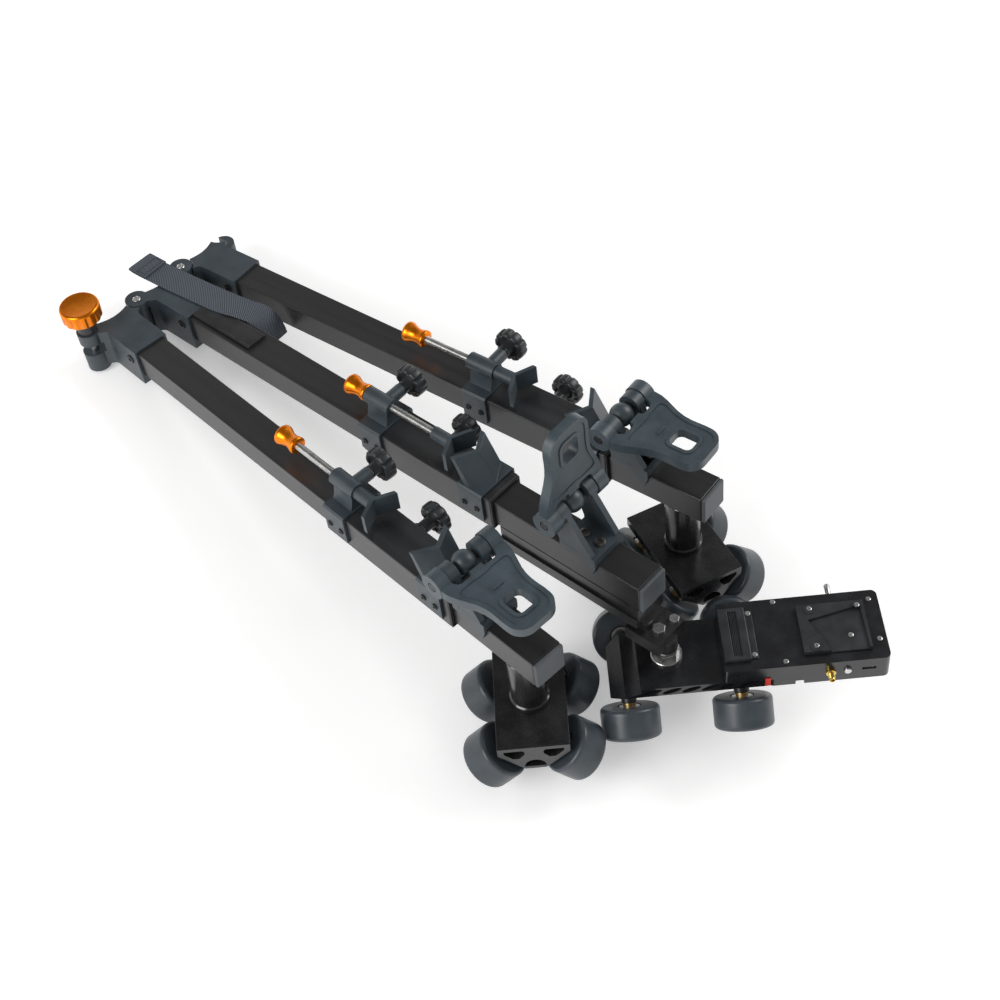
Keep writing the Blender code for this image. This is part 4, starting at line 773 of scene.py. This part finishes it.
for side, leg in LEGS.items():
    place = leg @ Matrix.Translation((PIVOTS[side][0], 0, 0))
    body = side + "_leg"
    piece(lever_bracket, side + "_lever_casting", body, "cast_grey", cast_look, place, side + "_lever_bracket",
          bevel=1.0, steps=3)
    pivot = place @ Matrix.Translation((0, 0, PIN_LEVEL))
    piece(cross_pin, side + "_lever_pin", body, "steel", black_screw, pivot @ placed((0, 0, 0), (0, 1, 0)), bevel=0)
    piece(ball, side + "_lever_ball", body, "cast_grey", cast_look, pivot, bevel=0)
    piece(repeated(base_screw, [Matrix.Translation((x, 0, BASE_TOP)) for x in (13.0, 31.8)]),
          side + "_base_screws", body, "steel", worn_screw, place, bevel=0)

# Foot levers. Grey castings with two ears on the cross pin and a slotted pedal with a
# raised rim on both faces.
SLOT_CENTRE = 71


def rounded(centre, length, width, radius, steps=8):
    """A rectangle with round corners, centred on X."""
    x, y = length / 2 - radius, width / 2 - radius
    return [point for cx, cy, start in ((x, y, 0), (-x, y, 90), (-x, -y, 180), (x, -y, 270))
            for point in arc((centre + cx, cy), radius, start, start + 90, steps)]


pedal = [(100, 6)] + arc((84, 9.5), 16, 0, 84, 10) + [
    (78, 25.8), (70, 25.4), (62, 25.3), (54, 26.2), (46, 28.4), (38, 31.6), (30, 35.0), (22, 37.6), (14, 38.6),
    (0, 38.6), (0, 25.9), (14, 25.9), (18.4, 23.8), (20, 19.7), (20, 9), (18.5, 7.4), (15, 7)]
well = [(95.5, 6)] + arc((84, 9.5), 11.5, 0, 84, 8) + [
    (78, 21.3), (70, 20.9), (62, 20.9), (54, 21.8), (46, 23.8), (38, 26.8), (31, 29.6), (27, 29.4), (25, 26),
    (25, 10), (26, 6)]
recess = [mirrored(well), rounded(SLOT_CENTRE, 31, 28, 8.5)]
lever_shape = cast(
    plate([mirrored(pedal)], -5, 5),
    [rod(13, (0, sign * 25.7, 0), (0, sign * 39, 0), 64) for sign in (-1, 1)],
    [plate([rounded(SLOT_CENTRE, 24, 21, 6)], -9, 9), plate(recess, 3.9, 9), plate(recess, -9, -3.9),
     rod(4.9, (0, -50, 0), (0, 50, 0))])
mark = block((44, 46.5), (-6, 6), (3.8, 5.2))
lever_look = finish("lever_grey", (0.029, 0.043, 0.053), (0.052, 0.073, 0.087), 0.4, 1300.0, 0.00012, IOR=1.6)
for side, leg in LEGS.items():
    setback, tilt = PIVOTS[side]
    place = leg @ Matrix.Translation((setback, 0, PIN_LEVEL)) @ Matrix.Rotation(math.radians(tilt), 4, "Y")
    piece(lever_shape, side + "_pedal", side + "_lever", "cast_grey", lever_look, place, side + "_lever", bevel=1.5,
          steps=4)
    piece(mark, side + "_pedal_bar", side + "_lever", "cast_grey", lever_look, place, bevel=0.4)

# Posts. Turned black aluminium under the side legs, with a ring foot that clamps the truck.
post = turned([(0, -16.4), (16.7, -16.4), (17.5, -17.2), (17.5, -77.0), (18.2, -77.6), (19.0, -78.2),
               (19.0, -82.9), (18.2, -83.7), (0, -83.7)], 96)
gloss_black = finish("turned_black", (0.009, 0.009, 0.010), (0.017, 0.017, 0.018), 0.2, 1400.0, 0.00001, IOR=1.7)
for side in ("left", "right"):
    piece(post, side + "_truck_post", side + "_leg", "black_metal", gloss_black,
          LEGS[side] @ Matrix.Translation((POST_SETBACK, 0, 0)), side + "_post", bevel=0)

# Side trucks. Short lengths of black extrusion with two screw channels and a half-round
# groove through their ends, and four wheels on bolts at 45 degrees.
BEAM_HALF = 56


def truck_frame(swivel, front, rear):
    """Along a truck from its rear wheels to its front wheels, up its swivel axis."""
    up = Vector(JOINTS[swivel]["axis"])
    run = Vector(JOINTS[front]["pos_m"]) - Vector(JOINTS[rear]["pos_m"])
    along = (run - up * run.dot(up)).normalized()
    place = Matrix((along, up.cross(along), up)).transposed().to_4x4()
    place.translation = JOINTS[swivel]["pos_m"]
    return place @ Matrix.Scale(MM, 4)


TRUCKS = {truck: truck_frame(truck + "_truck_swivel", truck + "_wheel_front_left_spin",
                             truck + "_wheel_rear_left_spin") for truck in ("left", "drive", "right")}
channel = [(28, -5), (28, -9), (20, -17), (14, -17), (9, -11), (9, -7), (11, -5)]
beam = plate([both_sides([(34, 0), (34, -11), (10, -35)]), channel, [(-y, z) for y, z in channel],
              arc((0, -31), 10, 0, 180, 24)], -BEAM_HALF, BEAM_HALF, across="x")
brass = finish("bearing_brass", (0.42, 0.29, 0.12), (0.60, 0.43, 0.20), 0.35, 2400.0, 0.00002, Metallic=1.0)


def add_axles(truck, x_places, y, z, gap):
    """Four wheel bolts at 45 degrees, each with a bearing ring, a brass bush and a spacer.

    Gap is how far a wheel stands off its truck's face."""
    foot = -gap - 0.6
    mounts = [placed((x, sign * y, z), (0, sign, -1)) for x in x_places for sign in (-1, 1)]
    for kind, look, profile, closed in (
            ("rings", steel, [(6.1, 0.4), (10, 0.4), (10, 2.0), (9.6, 2.4), (4.6, 2.4), (4.6, 0.4)], True),
            ("bushs", brass, [(0, 0.5), (6.0, 0.5), (6.0, -3.2), (0, -3.2)], False),
            ("spacers", black_screw, [(0, -3.0), (6.6, -3.0), (7.4, -3.8), (7.4, foot), (0, foot)], False),
            ("bolts", steel, [(0, 28), (4.4, 28), (5, 27.5), (4, 26.4), (4, 2.3), (0, 2.3)], False)):
        shape = turned(profile, 48 if kind == "rings" else 40, closed)
        piece(repeated(shape, mounts), truck + "_axle_" + kind, truck + "_truck", "steel", look, TRUCKS[truck],
              bevel=0)


for side in ("left", "right"):
    body = side + "_truck"
    extrusion = finish(body + "_black", (0.010, 0.010, 0.011), (0.020, 0.020, 0.021), 0.26, 1500.0, 0.00002,
                       IOR=1.6)
    piece(beam, body + "_beam", body, "black_metal", extrusion, TRUCKS[side], body + "_body", bevel=0.8, steps=3)
    add_axles(side, (-36, 36), 27.5, -26, 6.01)

# Wheels. Cast tyres of dark polyurethane with soft shoulders and a recess round the bearing.
WHEEL_RADIUS = 28.5
SHOULDER = 4.0
shoulders = [arc((WHEEL_RADIUS - SHOULDER, level), SHOULDER, start, end, 8)
             for level, start, end in ((11.0, 90, 8), (-11.0, -8, -90))]
tyre = turned([(4.5, 12), (11, 12), (11.4, 12.4), (11.4, 14.6), (11.8, 15), (24.4, 15)] + shoulders[0] + [
    (WHEEL_RADIUS, 9.8), (WHEEL_RADIUS, -9.8)] + shoulders[1] + [(11, -15), (4.5, -10.8)], 96, True)
rubber = finish("wheel_rubber", (0.032, 0.040, 0.048), (0.054, 0.066, 0.077), 0.34, 1200.0, 0.00008)
for truck in ("left", "right", "drive"):
    for corner in ("front_left", "front_right", "rear_left", "rear_right"):
        name = truck + "_wheel_" + corner
        joint = JOINTS[name + "_spin"]
        piece(tyre, name + "_tyre", name, "wheel_rubber", rubber,
              placed(joint["pos_m"], joint["axis"]) @ Matrix.Scale(MM, 4), name, bevel=0)

# Drive rail. A black channel under the middle tube that carries a swivel block, bolted from
# above, for the powered truck.
RAIL_START = 448
BLOCK_TOP = -50
rail = cast(block((RAIL_START, 618), (-17.5, 17.5), (-34, -16.3)), [
    block((RAIL_START, 617.5), (-20, 20), (-42, -30)), block((604.5, 623.5), (-13, 13), (-53, -39)),
    block((602.5, 642.5), (-20, 20), (-65, BLOCK_TOP)),
    rod(11, (SWIVEL_SETBACK, 0, -75), (SWIVEL_SETBACK, 0, -60), 64)])
satin_black = finish("machined_black", (0.012, 0.012, 0.013), (0.024, 0.024, 0.025), 0.32, 1500.0, 0.00003,
                     IOR=1.65)
piece(rail, "drive_rail_block", "middle_leg", "black_metal", satin_black, LEGS["middle"], "drive_rail", bevel=1.0,
      steps=3)
hex_head = cast(plate([arc((0, 0), 5.2, 0, 300, 5)], 0, 3.6),
                cut=[turned([(4.7, 4.4), (7, 4.4), (7, 2.4)], 48, True)])
bolt_places = [Matrix.Translation((x, y, BLOCK_TOP - 0.05)) @ Matrix.Scale(size, 4)
               for x, y, size in ((631, -4, 1.25), (635, 14, 1.0))]
piece(repeated(hex_head, bolt_places), "swivel_block_bolts", "middle_leg", "steel", steel, LEGS["middle"], bevel=0.3)

# Powered truck. A folded black housing with slanted windows, open below, with a steel
# washer and a big steel nut for the swivel bolt.
WINDOWS = 7
WINDOW_START = -36
WINDOW_PITCH = 18.5
drive_half = both_sides([(38, -90), (38, -102), (16, -124)])
room_half = both_sides([(33.5, -94.5), (33.5, -100.14), (9.64, -124), (9.64, -129)])
windows = [[(WINDOW_START + WINDOW_PITCH * i + 6.8 * (x + 0.9 * y), -96 + 4.3 * y)
            for x, y in arc((0, 0), 1, 0, 345, 23)] for i in range(WINDOWS)]
housing = cast(plate([drive_half], -57, 91, across="x"), cut=[
    plate([[(-28.5, -90), (-60, -112), (-60, -85), (-28.5, -85)]], -45, 45, across="y"),
    plate([room_half], -26.5, 86.5, across="x")] + [plate([window], -45, 45, across="y") for window in windows])
drive_place = TRUCKS["drive"]
drive_black = finish("drive_housing_black", (0.008, 0.008, 0.009), (0.015, 0.016, 0.018), 0.24, 1500.0, 0.00002,
                     IOR=1.55)
piece(housing, "drive_housing", "drive_truck", "black_metal", drive_black, drive_place, "drive_truck_body",
      bevel=0.9, steps=3)
washer = turned([(0, -91), (14.4, -91), (15, -90.4), (15, -87.6), (14.4, -87), (0, -87)], 72)
nut = cast(plate([arc((0, 0), 13.0, 10, 310, 5)], -89, -78.3), cut=[
    turned([(12.2, -77), (16, -77), (16, -80.4)], 64, True), turned([(12.2, -90), (16, -86.5), (16, -90)], 64, True)])
spacer = turned([(0, -79.3), (9, -79.3), (9, -76.0), (8.4, -75.3), (0, -75.3)], 56)
for name, shape, eased in (("swivel_washer", washer, 0), ("swivel_nut", nut, 0.3), ("swivel_spacer", spacer, 0)):
    piece(shape, name, "drive_truck", "steel", steel, drive_place, bevel=eased)
add_axles("drive", (66.7, -40), 40, -110, 7.07)

# Control box. A black aluminium box with a screwed lid over the truck's tail, an antenna
# socket, a charging port, a switch bush and a button.
NEAR, FAR = -1, 1
LID_TOP = -71.0
BOX_SIDE = 40


def side_place(x, y, z, side):
    """A place on the box's near or far side, with Z pointing out of it."""
    return drive_place @ placed((x, side * y, z), (0, side, 0))


control = cast(plate([rounded(148.15, 113.7, 80, 6)], -100, LID_TOP), [
    plate([rounded(86, 70, 80, 3)], -89.7, LID_TOP)], [
    block((178.5, 191.5), (-44, -37), (-86.5, -83)), block((117, 125), (-44, -36), (-104, -95)),
    rod(3.7, (165, -44, -84), (165, -38.2, -84))])
piece(control, "control_housing", "drive_truck", "black_metal", drive_black, drive_place, "control_box", bevel=1.2,
      steps=3)
lid_screw = cap_screw(2.6, 1.0, 1.3)
lid_places = [Matrix.Translation((x, y, LID_TOP - 0.2)) for x, y in ((106, 36), (108, -34), (196, 29), (198, -18))]
cover_places = [Matrix.Translation((80.3, y, -69.6)) for y in (24, -24)]
piece(repeated(lid_screw, cover_places + lid_places), "lid_screws", "drive_truck", "steel", steel, drive_place,
      bevel=0)
gold = finish("gold_plate", (0.62, 0.42, 0.10), (0.80, 0.58, 0.18), 0.25, 2400.0, 0.00001, Metallic=1.0)
aerial = turned([(0, 0), (4.6, 0), (4.6, 3.2), (3.6, 3.5), (2.9, 3.6)] + [
    (radius, 3.9 + 0.7 * i + step) for i in range(9) for radius, step in ((2.8, 0.0), (3.1, 0.35))] + [
    (2.9, 10.9), (2.2, 11.0), (2.2, 8.0), (0.6, 8.0), (0.6, 9.6), (0, 9.6)], 40)
piece(aerial, "antenna_socket", "drive_truck", "steel", gold, side_place(149, BOX_SIDE - 0.1, -84, NEAR), bevel=0)
collar_shape = turned([(3.2, 0), (4.2, 0), (4.2, 2.6), (3.9, 3.0), (3.2, 3.0)], 40, True)
piece(collar_shape, "switch_bush", "drive_truck", "steel", steel, side_place(162, BOX_SIDE - 0.1, -82, FAR), bevel=0)
port = cast(plate([rounded(0, 9.0, 3.2, 1.5)], 0.0, 1.2), cut=[plate([rounded(0, 8.2, 2.4, 1.15)], 0.4, 3.0)])
piece(port, "charging_port", "drive_truck", "steel", steel, side_place(185, 37.2, -84.75, NEAR), bevel=0)
tag_red = finish("tag_red", (0.55, 0.02, 0.012), (0.72, 0.04, 0.022), 0.6, 1400.0, 0.00003)
tag = block((88.2, 93.4), (-41.4, -40.1), (-97.0, -86.0))
piece(tag, "pull_tag", "drive_truck", "black_plastic", tag_red, drive_place, bevel=0.3)

# Cable cover and battery plate. Black mouldings on the lid: a ribbed cover, and a plate with
# a tapered recess that a battery slides into.
RIB_PITCH = 1.6
PLATE_SCREWS = ((138, 20), (138, -23), (183, 19.5))
BOSS_TOP = -65.7
RECESS_FLOOR = -69.2
cover = cast(block((52, 77), (-30, 30), (-70.7, -66)), [block((60, 84), (-28, 28), (-70.7, -69.4))],
             [block((61, 69), (-26, 26), (-68.5, -60))])
piece(cover, "cable_cover_moulding", "drive_truck", "black_plastic", knob_black, drive_place, "cable_cover",
      bevel=1.4, steps=3)
rib = block((62.0, 62.8), (-25.9, 25.9), (-68.6, -67.2))
ribs = repeated(rib, [Matrix.Translation((RIB_PITCH * i, 0, 0)) for i in range(5)])
piece(ribs, "cable_cover_ribs", "drive_truck", "black_plastic", knob_black, drive_place, bevel=0.2)
battery = cast(block((126, 189.5), (-29, 26), (-70.7, -66.4)),
               [rod(5.6, (x, y, -68), (x, y, BOSS_TOP)) for x, y in PLATE_SCREWS],
               [plate([[(135, 8), (152, -31), (187, -31), (186, 20)]], RECESS_FLOOR, -60)])
piece(battery, "battery_plate_moulding", "drive_truck", "black_plastic", knob_black, drive_place, "battery_plate",
      bevel=0.8, steps=3)
screw_places = [Matrix.Translation((x, y, BOSS_TOP - 0.1)) for x, y in PLATE_SCREWS]
screw_places.append(Matrix.Translation((172, -12, RECESS_FLOOR - 0.1)))
piece(repeated(lid_screw, screw_places), "battery_plate_screws", "drive_truck", "steel", steel, drive_place, bevel=0)

# Switch and button. A turned steel stick that tips in its bush, and a steel push button.
stick = turned([(0, 0.6), (1.9, 0.6), (1.9, 4.0), (2.6, 5.4), (3.0, 17.4), (2.8, 18.4), (2.0, 19.0), (0, 19.0)], 32)
piece(stick, "switch_stick", "power_switch", "steel", steel, side_place(162, BOX_SIDE, -82, FAR), "power_switch",
      bevel=0)
button = turned([(0, 0.2), (3.4, 0.2), (3.4, 2.2), (3.1, 2.6), (0, 2.6)], 40)
piece(button, "button_cap", "set_button", "steel", steel, side_place(165, BOX_SIDE, -84, NEAR), "set_button", bevel=0)
